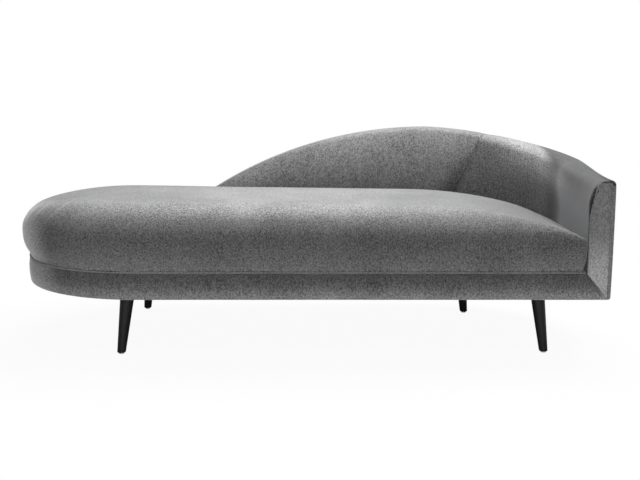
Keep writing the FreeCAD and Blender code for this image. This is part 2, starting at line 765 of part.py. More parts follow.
def facing_outline(inset, y):
    """Edges of the arm's facing from the foot of the mitre, up the seat side, over the top and down outside."""
    left = ARM_X - size("back_thick") + inset
    right = ARM_X - inset
    top = size("arm_height") - inset
    low = BAND_LOW + inset
    round_off = size("facing_corner") - inset
    cut = round_off * (1 - math.sqrt(0.5))
    slope = (SEAM - BAND_LOW) / (size("back_thick") - size("facing_foot"))
    start = V(mitre_x(low), y, low)
    mitre = V(left, y, SEAM - inset * slope)
    return [
        Part.makeLine(start, mitre),
        Part.makeLine(mitre, V(left, y, top - round_off)),
        Part.Arc(V(left, y, top - round_off), V(left + cut, y, top - cut), V(left + round_off, y, top)).toShape(),
        Part.makeLine(V(left + round_off, y, top), V(right - round_off, y, top)),
        Part.Arc(V(right - round_off, y, top), V(right - cut, y, top - cut), V(right, y, top - round_off)).toShape(),
        Part.makeLine(V(right, y, top - round_off), V(right, y, low)),
    ], start, V(right, y, low)


def make_facing():
    """Flat upholstered front of the arm: padding, cover and a welt round its seat side, top and outer side."""
    for label, inset, low_y, high_y in (
        ("arm_facing_cover", 0, -DEPTH, -DEPTH + COVER),
        ("arm_facing_pad", COVER + GAP, SKIN_FRONT, PAD_FRONT - GAP),
    ):
        edges, start, end = facing_outline(inset, low_y)
        face = Part.Face(Part.Wire(edges + [Part.makeLine(end, start)]))
        shaped(label, face.extrude(V(0, high_y - low_y, 0)))
    radius = size("facing_welt_radius")
    edges, _, _ = facing_outline(radius + GAP, -DEPTH - radius)
    shaped("arm_facing_welt", pipe(edges[1:], radius))


# Seat cushion

SIDE_SHARES = (0.2, 0.45, 0.7)  # levels of the lower side, as shares of the way up from its lip to its widest line
FALL_END = math.radians(40)  # how far the arcs of the crown are drawn, past back and arm
ROLL_END = 84.0
ROLL_STEPS = 6


def under_crown(top, slope):
    """Space under the crowned top: it rises to the foot, falls to the arm in one arc and to the back in another."""
    right = ARM_X - size("back_thick")
    lean = math.atan(slope)

    def crown_z(x):
        return top + slope * (right - x)

    radius = size("crown_fall_radius")
    start = V(size("crown_fall_x"), -REACH, crown_z(size("crown_fall_x")))
    centre = start - V(math.sin(lean), 0, math.cos(lean)) * radius
    middle, end = (centre + V(math.sin(lean + a), 0, math.cos(lean + a)) * radius for a in (FALL_END / 2, FALL_END))
    far = V(-REACH, -REACH, crown_z(-REACH))
    lengthwise = [
        Part.makeLine(far, start),
        Part.Arc(start, middle, end).toShape(),
        Part.makePolygon([end, V(end.x, -REACH, 0), V(-REACH, -REACH, 0), far]),
    ]
    along = Part.Face(Part.Wire([edge for part in lengthwise for edge in part.Edges])).extrude(V(0, 2 * REACH, 0))
    radius = size("crown_rear_radius")
    ridge = V(-REACH, 0, crown_z(-REACH))
    bend = [ridge + V(0, math.sin(a), math.cos(a) - 1) * radius for a in (FALL_END / 2, FALL_END)]
    front = V(-REACH, -REACH, ridge.z)
    crosswise = [
        Part.makeLine(front, ridge),
        Part.Arc(ridge, *bend).toShape(),
        Part.makePolygon([bend[1], V(-REACH, bend[1].y, 0), V(-REACH, -REACH, 0), front]),
    ]
    face = Part.Face(Part.Wire([edge for part in crosswise for edge in part.Edges]))
    return along.common(face.extrude(V(2 * REACH, 0, -2 * REACH * slope)))


def cushion_form(skin):
    """The cushion less a skin: sides drawn in below, widest above the middle, rolled to a crowned top.

    Each level section is the plan at its own inset. The upper ones tilt, because the crown rises to the foot end."""
    low = SEAM + size("cushion_seat_gap")
    height = size("cushion_crown") - size("cushion_seat_gap")
    bulge = size("cushion_bulge")
    roll = size("cushion_roll")
    draw = size("cushion_draw_in")
    lip = size("cushion_lip")
    right = ARM_X - size("back_thick")
    length = right - FOOT_X + DEPTH
    held_draw = size("cushion_held_draw")
    held_roll = size("cushion_held_roll")
    levels = [(0, draw, held_draw, 0), (lip, draw, held_draw, 0)]
    for share in SIDE_SHARES:
        left = (1 - share) ** size("cushion_sides")
        levels.append((lip + share * (bulge - lip), draw * left, held_draw * left, 0))
    for step in range(ROLL_STEPS + 1):
        turn = math.radians(ROLL_END * step / ROLL_STEPS)
        fall = 1 - math.cos(turn)
        levels.append((bulge + (height - bulge) * math.sin(turn), roll * fall, held_roll * fall, math.sin(turn)))
    sections = []
    for level, inset, held, tilt in levels:
        z = low + skin + level * (height - 2 * skin) / height
        section = Part.Wire(seat_outline(inset, held, skin))
        section.translate(V(0, 0, z))
        rise = math.degrees(math.atan(size("cushion_rise") * tilt ** 2 / length))
        section.rotate(V(right, 0, z), V(0, 1, 0), rise)
        sections.append(section)
    slope = size("cushion_rise") / length
    return Part.makeLoft(sections, True, False).common(under_crown(low + height - skin, slope))


def make_cushion():
    """Foam core, fibre wrap and cover, with a welt round the lower edge and a zip let into the underside."""
    outer = cushion_form(0)
    inner = cushion_form(COVER)
    wrap_skin = COVER + GAP
    core_skin = wrap_skin + size("fibre_thick")
    wrap = cushion_form(wrap_skin).cut(cushion_form(core_skin))
    core = cushion_form(core_skin + GAP)
    low = SEAM + size("cushion_seat_gap")
    half, wide = size("zip_length") / 2 + GAP, size("zip_width") / 2 + GAP
    middle_y = DEPTH / 2
    slot = block(-half, half, middle_y - wide, middle_y + wide, low - PAST, low + COVER + GAP / 2)
    shaped("cushion_cover", outer.cut(inner).cut(slot))
    shaped("cushion_fibre_wrap", wrap)
    shaped("cushion_foam_core", core)
    tape = doc.addObject("Part::Box", "cushion_zip")
    bind(tape, "Length", "zip_length")
    bind(tape, "Width", "zip_width")
    bind(tape, "Height", "cover_thick")
    bind(tape, "Placement.Base.x", "-zip_length / 2")
    bind(tape, "Placement.Base.y", "half_depth / 2 - zip_width / 2")
    bind(tape, "Placement.Base.z", "seam_level + cushion_seat_gap")
    piece(tape, "cushion_zip")
    radius = size("cushion_welt_radius")
    away = radius + size("welt_gap")
    edges = seat_outline(size("cushion_draw_in") - away, size("cushion_held_draw") - away)
    shaped("cushion_welt", pipe([edge.translated(V(0, 0, low + radius)) for edge in edges], radius))


make_base_frame()
make_stretchers()
for leg_corner in CORNERS:
    make_leg(leg_corner)
    make_glide(leg_corner)
make_leg_fixings()
FELT_LOW = make_deck(make_springs())
make_dust_cover()
make_band(FELT_LOW)
make_wall_frame()
make_wall_layers()
make_facing()
make_cushion()
doc.recompute()

for thing in doc.Objects:
    if {"Invalid", "Error"} & set(thing.State):
        raise RuntimeError(f"{thing.Label} did not build: {thing.State}")
for thing in pieces:
    if thing.Shape.isNull() or not thing.Shape.isValid() or not thing.Shape.Solids:
        raise RuntimeError(f"{thing.Label} has no sound solid")

os.makedirs("parts", exist_ok=True)
for thing in pieces:
    thing.Shape.exportStep(f"parts/{thing.Label}.step")
    box = thing.Shape.BoundBox
    print(f"{thing.Label}: {len(thing.Shape.Solids)} solids, {thing.Shape.Volume / 1000:.1f} cm3,"
          f" x {box.XMin:.0f}..{box.XMax:.0f}, y {box.YMin:.0f}..{box.YMax:.0f}, z {box.ZMin:.1f}..{box.ZMax:.1f}")
print(len(pieces), "pieces")
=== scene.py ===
# %% [markdown]
# # A chaise longue in grey chenille
# The chaise has a rounded foot, one long loose cushion, and a back that rises in a single curve and turns the
# corner into an arm. Its construction comes in as a fixed frame of named solids. This file dresses that frame:
# every visible soft piece is modelled again as cloth over padding, and every finish is worked out with nodes.
# %% Load the frame
import json
import math

import bmesh
import bpy
import numpy as np
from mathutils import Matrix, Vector


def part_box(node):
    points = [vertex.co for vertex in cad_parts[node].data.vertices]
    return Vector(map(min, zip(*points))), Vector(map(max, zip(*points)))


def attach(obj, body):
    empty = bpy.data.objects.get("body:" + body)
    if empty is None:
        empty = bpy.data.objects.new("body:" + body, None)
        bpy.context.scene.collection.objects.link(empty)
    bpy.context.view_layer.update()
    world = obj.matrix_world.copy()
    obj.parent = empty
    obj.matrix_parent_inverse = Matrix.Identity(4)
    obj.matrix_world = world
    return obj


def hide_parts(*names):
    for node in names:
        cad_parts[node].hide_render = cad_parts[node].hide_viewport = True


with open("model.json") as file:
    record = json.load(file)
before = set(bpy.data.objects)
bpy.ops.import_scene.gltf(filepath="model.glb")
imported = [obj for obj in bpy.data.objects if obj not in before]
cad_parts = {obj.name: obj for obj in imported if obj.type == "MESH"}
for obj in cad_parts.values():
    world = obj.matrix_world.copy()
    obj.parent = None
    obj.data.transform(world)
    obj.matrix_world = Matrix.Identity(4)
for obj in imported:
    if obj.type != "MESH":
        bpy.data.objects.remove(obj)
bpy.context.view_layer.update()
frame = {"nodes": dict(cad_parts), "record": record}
print("nodes in the frame:", len(frame["nodes"]))

# %% [markdown]
# Sizes are read from the frame, so that the cloth fits the solids that it covers. A box gives the lowest and the
# highest corner of a solid, and the plan of the chaise follows from a few of these corners. The last value is the
# gap at which the loose cushion stays off the wall, so that the two can be moved apart.
# %% Sizes from the frame
def low(node):
    """Lowest corner of the box round a solid."""
    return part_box(node)[0]


def high(node):
    """Highest corner of the box round a solid."""
    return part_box(node)[1]


ARM_X = high("outer_back_cover").x
DEPTH = high("band_cover").y
BAND_LOW = low("band_cover").z
SEAM = high("band_cover").z
PEAK = high("outer_back_cover").z
ARM_TOP = high("arm_facing_cover").z
BACK_THICK = high("arm_facing_cover").x - low("arm_facing_cover").x
TIP_X = low("outer_back_cover").x
FOOT_X = high("foot_bow_rail").x
CORNER_X = high("rear_rail").x
CORNER_R = ARM_X - CORNER_X
CORNER_Y = DEPTH - CORNER_R
CUSHION_LOW = low("cushion_cover").z
OVERHANG = high("cushion_cover").y - DEPTH
FIT_GAP = 0.0008
print(f"plan {ARM_X:.3f} by {DEPTH:.3f} m, seam at {SEAM:.3f} m, peak at {PEAK:.3f} m")

# %% [markdown]
# The camera stands where the photograph was taken from: a little over two and a half metres in front of the base,
# at about chest height, looking down by ten degrees. A lens of 52 mm on a 36 mm sensor gives the same perspective.
# %% Camera
CAMERA_X = 0.060
CAMERA_DISTANCE = 2.683
CAMERA_HEIGHT = 0.838
CAMERA_PITCH = 0.17
LENS_MM = 52.14

camera = bpy.data.objects.new("camera", bpy.data.cameras.new("camera"))
bpy.context.scene.collection.objects.link(camera)
camera.location = (CAMERA_X, -DEPTH - CAMERA_DISTANCE, CAMERA_HEIGHT)
camera.rotation_euler = (math.pi / 2 - CAMERA_PITCH, 0, 0)
camera.data.lens = LENS_MM
camera.data.sensor_width = 36
bpy.context.scene.camera = camera
print("camera at", tuple(round(v, 3) for v in camera.location))

# %% [markdown]
# Shader maths reads best as plain expressions. One small class wraps a socket, and each operator adds the Math node
# that does its work. One method makes any other node: its settings are set first, then its inputs.
# %% Node helper
class Value:
    """A node's output that takes part in expressions."""

    def __init__(self, finish, socket):
        self.finish = finish
        self.socket = socket

    def _math(self, operation, first, second):
        """Adds one Math node that works on two values or numbers."""
        node = self.finish.node("Math", {"operation": operation}, {0: first, 1: second})
        return node.out(0)

    def __add__(self, other):
        return self._math("ADD", self, other)

    def __radd__(self, other):
        return self._math("ADD", other, self)

    def __sub__(self, other):
        return self._math("SUBTRACT", self, other)

    def __rsub__(self, other):
        return self._math("SUBTRACT", other, self)

    def __mul__(self, other):
        return self._math("MULTIPLY", self, other)

    def __rmul__(self, other):
        return self._math("MULTIPLY", other, self)

    def __pow__(self, other):
        return self._math("POWER", self, other)


class Made:
    """A node just made, with its outputs as values."""

    def __init__(self, finish, node):
        self.finish = finish
        self.node = node

    def out(self, name):
        """The output of that name or number."""
        return Value(self.finish, self.node.outputs[name])


print("operators on values:", sum(name.endswith("__") and hasattr(int, name) for name in vars(Value)))

# %% [markdown]
# A finish is one material. It starts from the Principled surface that Blender gives a new material, and the same few
# patterns come back in every finish: a place on the object, cloudy noise, a ramp of colours, a blend and a bump.
# %% Finish helper
class Finish:
    """A material with a Principled surface, to which nodes are added."""

    def __init__(self, name):
        self.material = bpy.data.materials.new(name)
        self.material.use_nodes = True
        self.tree = self.material.node_tree
        self.surface = self.tree.nodes["Principled BSDF"]

    def node(self, kind, settings=None, inputs=None):
        """Any node: settings such as an operation first, then values or links for its inputs."""
        made = self.tree.nodes.new("ShaderNode" + kind)
        for key, value in (settings or {}).items():
            setattr(made, key, value)
        for key, value in (inputs or {}).items():
            self.feed(made.inputs[key], value)
        return Made(self, made)

    def feed(self, socket, value):
        """Links a value to a socket, or writes a number or colour into it."""
        if isinstance(value, Value):
            self.tree.links.new(value.socket, socket)
        else:
            socket.default_value = value

    def set(self, **inputs):
        """Values or links for the surface's own sockets, named with underscores for spaces."""
        for key, value in inputs.items():
            self.feed(self.surface.inputs[key.replace("_", " ").title().replace("Ior", "IOR")], value)
        return self

    def surface_out(self):
        """The shaded surface, as a value that a Mix Shader takes."""
        return Value(self, self.surface.outputs[0])

    def place(self, stretch=(1, 1, 1), turn=(0, 0, 0)):
        """Where a point lies on the object, stretched and turned."""
        point = self.node("TexCoord").out("Object")
        return self.node("Mapping", None, {"Vector": point, "Scale": stretch, "Rotation": turn}).out("Vector")

    def noise(self, point, scale, detail=2.0, rough=0.5):
        """Cloudy grey noise round one half, with so many clouds to the metre."""
        made = self.node("TexNoise", None, {"Vector": point, "Scale": scale, "Detail": detail, "Roughness": rough})
        return made.out("Fac")

    def ramp(self, fac, stops):
        """A smooth ramp from a value to colours: a list of places and greys or colours."""
        made = self.node("ValToRGB", None, {"Fac": fac})
        ramp = made.node.color_ramp
        while len(ramp.elements) < len(stops):
            ramp.elements.new(0.5)
        for element, (place, colour) in zip(ramp.elements, stops):
            element.position = place
            element.color = (*colour, 1) if isinstance(colour, tuple) else (colour, colour, colour, 1)
        return made.out("Color")

    def blend(self, fac, first, second, mode="MIX"):
        """Mixes two colours by a factor."""
        made = self.node("Mix", {"data_type": "RGBA", "blend_type": mode})
        colours = [s for s in made.node.inputs if s.type == "RGBA"]
        for socket, value in zip(colours, (first, second)):
            self.feed(socket, value if isinstance(value, Value) else (*value, 1))
        self.feed(made.node.inputs[0], fac)
        return Value(self, next(s for s in made.node.outputs if s.type == "RGBA"))

    def bump(self, height, distance, strength=1.0, under=None):
        """A normal that leans as if the surface rose by the height times a distance."""
        inputs = {"Height": height, "Distance": distance, "Strength": strength}
        if under is not None:
            inputs["Normal"] = under
        return self.node("Bump", None, inputs).out("Normal")


print("patterns that a finish knows:", "place, noise, ramp, blend and bump")

# %% [markdown]
# A maker draws the plan of an upholstered frame with a straight edge and a compass. Every outline here is the same:
# a chain of straight runs and arcs seen from above. A run is a few points, an arc is drawn from one angle to
# another, and a walk spreads points evenly along the chain, so that the mesh has even squares.
# %% Plan curves
def arc(centre, radius, start, end, step=0.004):
    """Points on a circle: centre plus radius times cosine and sine of angles between two angles in degrees."""
    count = max(3, int(abs(math.radians(end - start)) * radius / step))
    angle = np.radians(np.linspace(start, end, count))
    return np.stack([centre[0] + radius * np.cos(angle), centre[1] + radius * np.sin(angle)], 1)


def chain(*runs):
    """Joins runs of points and drops a point that repeats the one before it."""
    points = np.concatenate([np.asarray(run, float).reshape(-1, 2) for run in runs])
    keep = np.r_[True, np.linalg.norm(np.diff(points, axis=0), axis=1) > 1e-6]
    return points[keep]


def lengths(points):
    """Length along a chain from its start to each of its points."""
    return np.r_[0, np.cumsum(np.linalg.norm(np.diff(points, axis=0), axis=1))]


def walk(points, count):
    """Points at even lengths along a chain."""
    along = lengths(points)
    wanted = np.linspace(0, along[-1], count)
    return np.stack([np.interp(wanted, along, points[:, axis]) for axis in range(points.shape[1])], 1)


def smooth(value):
    """Zero below 0, one above 1, and three squares minus two cubes between."""
    value = np.clip(value, 0, 1)
    return value * value * (3 - 2 * value)


def base_plan(inset, start_x=ARM_X, end_x=None):
    """Front run to the left, half circle round the foot, and the rear run up to an end."""
    side = DEPTH - inset
    end_x = CORNER_X if end_x is None else end_x
    return chain([(start_x, -side)], arc((FOOT_X, 0), side, -90, -270), [(end_x, side)])


print("length round the base:", round(float(lengths(base_plan(0))[-1]), 3), "m")

# %% [markdown]
# A shell is a grid of points: each row is a closed loop, and rows are joined one after another. Loops that don't
# meet their own start get a cap at each end. All normals are turned outward, and the surface is shaded smooth.
# %% Mesh helpers
SLOTS = {}
WELD = 2e-5


def add_piece(name, points, faces, slot, body="frame", sharp=40):
    """Makes an object from points and faces, gives it a material slot, and lets it ride on a body."""
    mesh = bpy.data.meshes.new(name)
    mesh.from_pydata([tuple(p) for p in points], [], faces)
    shape = bmesh.new()
    shape.from_mesh(mesh)
    bmesh.ops.remove_doubles(shape, verts=shape.verts, dist=WELD)
    bmesh.ops.dissolve_degenerate(shape, edges=shape.edges, dist=1e-6)
    bmesh.ops.recalc_face_normals(shape, faces=shape.faces)
    shape.to_mesh(mesh)
    shape.free()
    mesh.shade_smooth()
    mesh.set_sharp_from_angle(angle=math.radians(sharp))
    piece = bpy.data.objects.new(name, mesh)
    bpy.context.scene.collection.objects.link(piece)
    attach(piece, body)
    SLOTS[name] = slot
    return piece


def grid_faces(rows, columns, wrap_rows=False, wrap_columns=False):
    """Squares between neighbouring points of a grid that is stored row by row."""
    row = np.arange(rows if wrap_rows else rows - 1)[:, None]
    column = np.arange(columns if wrap_columns else columns - 1)[None, :]
    next_row = (row + 1) % rows
    next_column = (column + 1) % columns
    quads = [row * columns + column, row * columns + next_column, next_row * columns + next_column,
             next_row * columns + column]
    shape = (row.size, column.size)
    corners = np.stack([np.broadcast_to(corner, shape) for corner in quads], -1)
    return [tuple(quad) for quad in corners.reshape(-1, 4)]


def shell(name, grid, slot, body="frame", wrap=False, sharp=40):
    """Closed surface over a grid of loops, with a cap on the first and the last loop."""
    rows, columns = grid.shape[:2]
    faces = grid_faces(rows, columns, wrap_rows=wrap, wrap_columns=True)
    if not wrap:
        faces.append(tuple(range(columns)))
        faces.append(tuple(range(rows * columns - columns, rows * columns)))
    return add_piece(name, grid.reshape(-1, 3), faces, slot, body, sharp)


def ripple(points, size, seed):
    """Soft random waves: a sum of sines of the place in seeded directions, divided by the root of their number."""
    random = np.random.default_rng(seed)
    ways = random.normal(size=(14, 3))
    ways /= np.linalg.norm(ways, axis=1, keepdims=True)
    waves = ways * (2 * math.pi / size) * random.uniform(0.6, 1.6, (14, 1))
    return np.sin(points @ waves.T + random.uniform(0, 2 * math.pi, 14)).sum(-1) / 14 ** 0.5


print("points closer than", WELD, "m are merged in every new mesh")

# %% [markdown]
# The back and the arm are one wall that stands on the base. A table lists its stations along the top edge: where
# the outer face is, which way is inward, how thick the wall is, and how high it stands. The edge starts at the foot
# with a nose, falls along a large circle up to the corner, and then eases down to the level of the arm.
# %% Stations of the wall
FALL_R = 1.480
NOSE_X = -0.330
NOSE_R = 0.120
BEND_X = -0.246
STEP = OVERHANG + BACK_THICK + FIT_GAP
RUN = BEND_X - FOOT_X
TIP_ROUND = 0.006
FRONT_ROUND = 0.010


def fall_height(x):
    """Height of the back's edge: a circle of the fall radius whose top is the peak."""
    return PEAK - FALL_R + np.sqrt(FALL_R ** 2 - (x - CORNER_X) ** 2)


def wall_inner(x):
    """Seat side of the wall behind the seat: an S of two arcs at the foot end, then a straight line."""
    bend = (RUN ** 2 + STEP ** 2) / 4 / STEP
    first = DEPTH + OVERHANG - bend + np.sqrt(np.maximum((bend + FIT_GAP) ** 2 - (x - FOOT_X) ** 2, 0))
    flat = DEPTH - BACK_THICK
    second = flat - FIT_GAP + bend - np.sqrt(np.maximum((bend - FIT_GAP) ** 2 - (x - BEND_X) ** 2, 0))
    return np.where(x < FOOT_X + RUN / 2, first, np.where(x < BEND_X, second, flat))


def arm_fall(share):
    """Height of the edge at a share of the way round the corner and along the arm: steep first, then level."""
    return ARM_TOP + (PEAK - ARM_TOP) * (1 - share ** 1.5) ** 2


def wall_stations():
    """Table of stations: length of the edge, then x, y, inward x, inward y, thickness and height."""
    steep = (CORNER_X - NOSE_X) / math.sqrt(FALL_R ** 2 - (CORNER_X - NOSE_X) ** 2)
    tilt = math.atan(steep)
    angle = np.linspace(math.pi, math.pi / 2 + tilt, 40)
    nose_x = NOSE_X + NOSE_R * math.sin(tilt) + NOSE_R * np.cos(angle)
    nose_z = fall_height(NOSE_X) - NOSE_R * math.cos(tilt) + NOSE_R * np.sin(angle)
    x = np.linspace(NOSE_X, CORNER_X, 240)[1:]
    straight = np.r_[nose_x, x]
    height = np.r_[nose_z, fall_height(x)]
    rear = np.stack([straight, np.full_like(straight, DEPTH), 0 * straight, -np.ones_like(straight),
                     DEPTH - wall_inner(straight), height], 1)
    turn = np.radians(np.linspace(90, 0, 240)[1:])
    corner = np.stack([CORNER_X + CORNER_R * np.cos(turn), CORNER_Y + CORNER_R * np.sin(turn), -np.cos(turn),
                       -np.sin(turn)], 1)
    y = np.linspace(CORNER_Y, -DEPTH, 110)[1:]
    side = np.stack([np.full_like(y, ARM_X), y, -np.ones_like(y), 0 * y], 1)
    bent = np.r_[corner, side]
    share = lengths(np.r_[[[CORNER_X, DEPTH]], bent[:, :2]])
    share = share[1:] / share[-1]
    padding = 0.005 * np.exp(-((share - 0.72) / 0.14) ** 2)
    bent = np.c_[bent, np.full(len(bent), BACK_THICK), arm_fall(share) + padding]
    table = np.r_[rear, bent]
    return np.c_[lengths(table[:, [0, 1, 5]]), table]


STATIONS = wall_stations()
EDGE = float(STATIONS[-1, 0])


def station(along):
    """Values of the table at a length along the edge, as x, y, inward x, inward y, thickness and height."""
    return [np.interp(along, STATIONS[:, 0], STATIONS[:, column]) for column in range(1, 7)]


print(f"edge of back and arm: {EDGE:.3f} m, thickness at the tip {STATIONS[0, 5] * 1000:.1f} mm")

# %% [markdown]
# A seam runs down the seat side of the corner and parts the flat back from the curved arm. It leans: the higher it
# is, the further it lies round the corner. Its place along the edge is therefore a function of the height.
# %% The leaning valley
VALLEY_LOW = (0.520, 0.369)
VALLEY_HIGH = (0.648, 0.658)


def valley_along(z):
    """Length along the edge at which the valley crosses a height."""
    inner = CORNER_R - BACK_THICK
    first, last = (math.acos((x - CORNER_X) / inner) for x, _ in (VALLEY_LOW, VALLEY_HIGH))
    angle = first + (last - first) * (z - VALLEY_LOW[1]) / (VALLEY_HIGH[1] - VALLEY_LOW[1])
    bent = STATIONS[:, 2] < DEPTH - 1e-6
    turn = np.arctan2(STATIONS[:, 2] - CORNER_Y, STATIONS[:, 1] - CORNER_X)
    on_arc = bent & (STATIONS[:, 2] >= CORNER_Y)
    return np.interp(-angle, -turn[on_arc], STATIONS[on_arc, 0])


def tuck(distance, radius):
    """How far a face draws in at a rounded edge: the radius less the height of a circle over what remains."""
    rest = np.clip(radius - distance, 0, radius)
    return radius - np.sqrt(radius ** 2 - rest ** 2)


def arm_taper(z):
    """How much thinner the front end of the arm is towards its top."""
    return 0.0175 * smooth((z - 0.435) / 0.115)


print("the valley starts", round(float(valley_along(VALLEY_LOW[1])), 3), "m along the edge")

# %% [markdown]
# Cut through anywhere, the padded wall shows the same loop: over the rounded top, down the seat side, and back up
# behind the cloth, where it lies on the board. The loop is cut into five runs, and every point keeps its share of
# its run. So all loops have the same points, and the mesh stays regular where the wall gets thinner or lower.
# %% Loop across the wall
WALL_FLOOR = 0.262
SWELL_LOW = CUSHION_LOW + 0.10
RUNS = [np.linspace(0, 1, 7), np.linspace(0, 1, 7)[1:-1], np.linspace(0, 1, 9), np.linspace(0, 1, 45)[1:],
        np.linspace(0, 1, 9)[1:]]
SHARE = np.concatenate(RUNS)
ON_RUN = np.repeat(np.arange(len(RUNS)), [len(run) for run in RUNS])
COVERED = ON_RUN < 4


def across_wall(along, outer_r, inner_r):
    """Inset and height of a loop's points, then the wall's thickness and height there."""
    thick, height = station(along)[4:]
    front = tuck(EDGE - along, FRONT_ROUND)
    end = tuck(along, TIP_ROUND) + front
    thick, height = thick - end, height - front
    fit = np.minimum(1, (thick - end) / (outer_r + inner_r))
    outer_r, inner_r = outer_r * fit, inner_r * fit
    turn = SHARE * math.pi / 2
    drop = height - inner_r - WALL_FLOOR
    behind = thick - np.minimum(0.010, 0.6 * (thick - end))
    runs = [(end + outer_r * (1 - np.cos(turn)), height - outer_r * (1 - np.sin(turn))),
            (end + outer_r + (thick - inner_r - end - outer_r) * SHARE, height + 0 * SHARE),
            (thick - inner_r * (1 - np.sin(turn)), height - inner_r * (1 - np.cos(turn))),
            (thick + 0 * SHARE, height - inner_r - drop * SHARE),
            (behind + 0 * SHARE, WALL_FLOOR + (drop - 0.010) * SHARE)]
    on_run = [ON_RUN == number for number in range(len(runs))]
    inset, z = (np.select(on_run, [run[axis] for run in runs]) for axis in (0, 1))
    return inset, z, thick, height


def padded_loop(along, outer_r, inner_r, bulge, roll):
    """Points of the loop with its padding: a swell above the cushion, a roll under the edge, a thinner front."""
    inset, z, thick, height = across_wall(along, outer_r, inner_r)
    seat_side = smooth((inset - thick * 0.4) / 0.03) * COVERED
    above = smooth((z - CUSHION_LOW - 0.150) / 0.08)
    fill = np.sin(np.pi * np.clip((z - SWELL_LOW) / np.maximum(height - SWELL_LOW, 0.05), 0, 1))
    edge_roll = roll * np.exp(-((height - z - 0.055) / 0.05) ** 2)
    inset = inset + seat_side * above * (bulge * fill + edge_roll)
    near_front = smooth(1 - (EDGE - along) / 0.34)
    inset = inset - arm_taper(z) * near_front * smooth((inset - thick * 0.3) / 0.01) * COVERED
    x, y, in_x, in_y = station(along)[:4]
    return np.stack([x + in_x * inset, y + in_y * inset, z], -1)


print("points in a loop:", len(SHARE))

# %% [markdown]
# A panel is a row of such loops between two seams. Since the valley leans, each point of its loop has its own place
# along the edge, which is found in a few rounds. Beside the valley the cloth dips in, where it is pulled to the
# board, and on the arm's side it swells again beyond.
# %% Panels of back and corner
def tip_seam(z):
    """Place along the edge of the upright seam at the tip, the same at every height."""
    return np.zeros_like(z)


def front_seam(z):
    """Place along the edge of the upright seam at the arm's front, the same at every height."""
    return np.full_like(z, EDGE)


def settled(seam, z, make):
    """Places along the edge of the loop that lies on a seam, found in three rounds from a guess of its heights."""
    for _ in range(3):
        along = seam(z)
        z = padded_loop(along, **make)[:, 2]
    return along


def wall_panel(name, start, stop, count, make, valley_end, lift, lift_far):
    """Padded panel between two seams, of which one, at its first or last end, is the valley."""
    guess = padded_loop(np.full(len(SHARE), start(0.5)), **make)[:, 2]
    ends = [settled(seam, guess, make) for seam in (start, stop)]
    share = np.linspace(0, 1, count)[:, None]
    share = share - np.sin(2 * math.pi * share) * 0.06
    along = ends[0] + (ends[1] - ends[0]) * share
    points = padded_loop(along, **make)
    z = points[..., 2]
    _, _, in_x, in_y, _, height = station(along)
    distance = np.abs(along - ends[valley_end])
    dip = VALLEY_DEPTH * np.exp(-(distance / VALLEY_WIDTH) ** 1.5)
    dip = dip - lift * np.exp(-((distance - lift_far) / (lift_far * 0.7)) ** 2)
    dip = dip * COVERED * smooth((z - SWELL_LOW) / 0.05) * (0.25 + 0.75 * smooth((height - z - 0.02) / 0.13))
    on_top = smooth((z - height + 0.03) / 0.025)
    inward = dip * (1 - 0.5 * on_top)
    return shell(name, points - np.stack([in_x * inward, in_y * inward, dip * on_top * 0.7], -1), "seat_fabric")


VALLEY_DEPTH = 0.013
VALLEY_WIDTH = 0.030
BACK_MAKE = {"outer_r": 0.009, "inner_r": 0.020, "bulge": 0.002, "roll": 0.0}
CORNER_MAKE = {"outer_r": 0.014, "inner_r": 0.032, "bulge": 0.006, "roll": 0.005}
back_panel = wall_panel("back_panel", tip_seam, valley_along, 150, BACK_MAKE, 1, 0.0, 0.030)
corner_panel = wall_panel("corner_panel", valley_along, front_seam, 110, CORNER_MAKE, 0, 0.003, 0.070)
for piece in (back_panel, corner_panel):
    print(piece.name, "has", len(piece.data.polygons), "faces")

# %% [markdown]
# The outside of the wall is one cloth panel, whose lower lip hangs a little below the frame. It is drawn from the
# tip at the foot end, round the corner, and it turns round the front edge of the arm. Below it wraps under the
# base, and above it meets the top panels in a seam. A thin closed shell shows both the rolled hem and the seam's
# edge, which a flat sheet of faces wouldn't.
# %% Outer back cover
COVER_LOW = BAND_LOW - 0.0025
HEM_R = 0.007


def outer_stations():
    """Table of the outer face: x, y, inward x, inward y and height."""
    along = np.r_[np.linspace(0, 0.06, 14), np.linspace(0.06, EDGE - 0.010, 330)[1:]]
    x, y, in_x, in_y, _, height = station(along)
    end = tuck(along, TIP_ROUND)
    rows = np.stack([x + in_x * end, y + in_y * end, in_x, in_y, height], 1)
    turn = np.radians(np.linspace(0, 90, 8)[1:])
    round_x = ARM_X - FRONT_ROUND + FRONT_ROUND * np.cos(turn)
    round_y = -DEPTH + FRONT_ROUND - FRONT_ROUND * np.sin(turn)
    corner = np.stack([round_x, round_y, -np.cos(turn), np.sin(turn), np.full(len(turn), ARM_TOP)], 1)
    flat_x = np.array([ARM_X - 0.0125, ARM_X - 0.0135])
    flat = np.stack([flat_x, np.full(2, -DEPTH), 0 * flat_x, np.ones(2), np.full(2, ARM_TOP)], 1)
    flat[-1, 1] += 0.004
    return np.r_[rows, corner, flat]


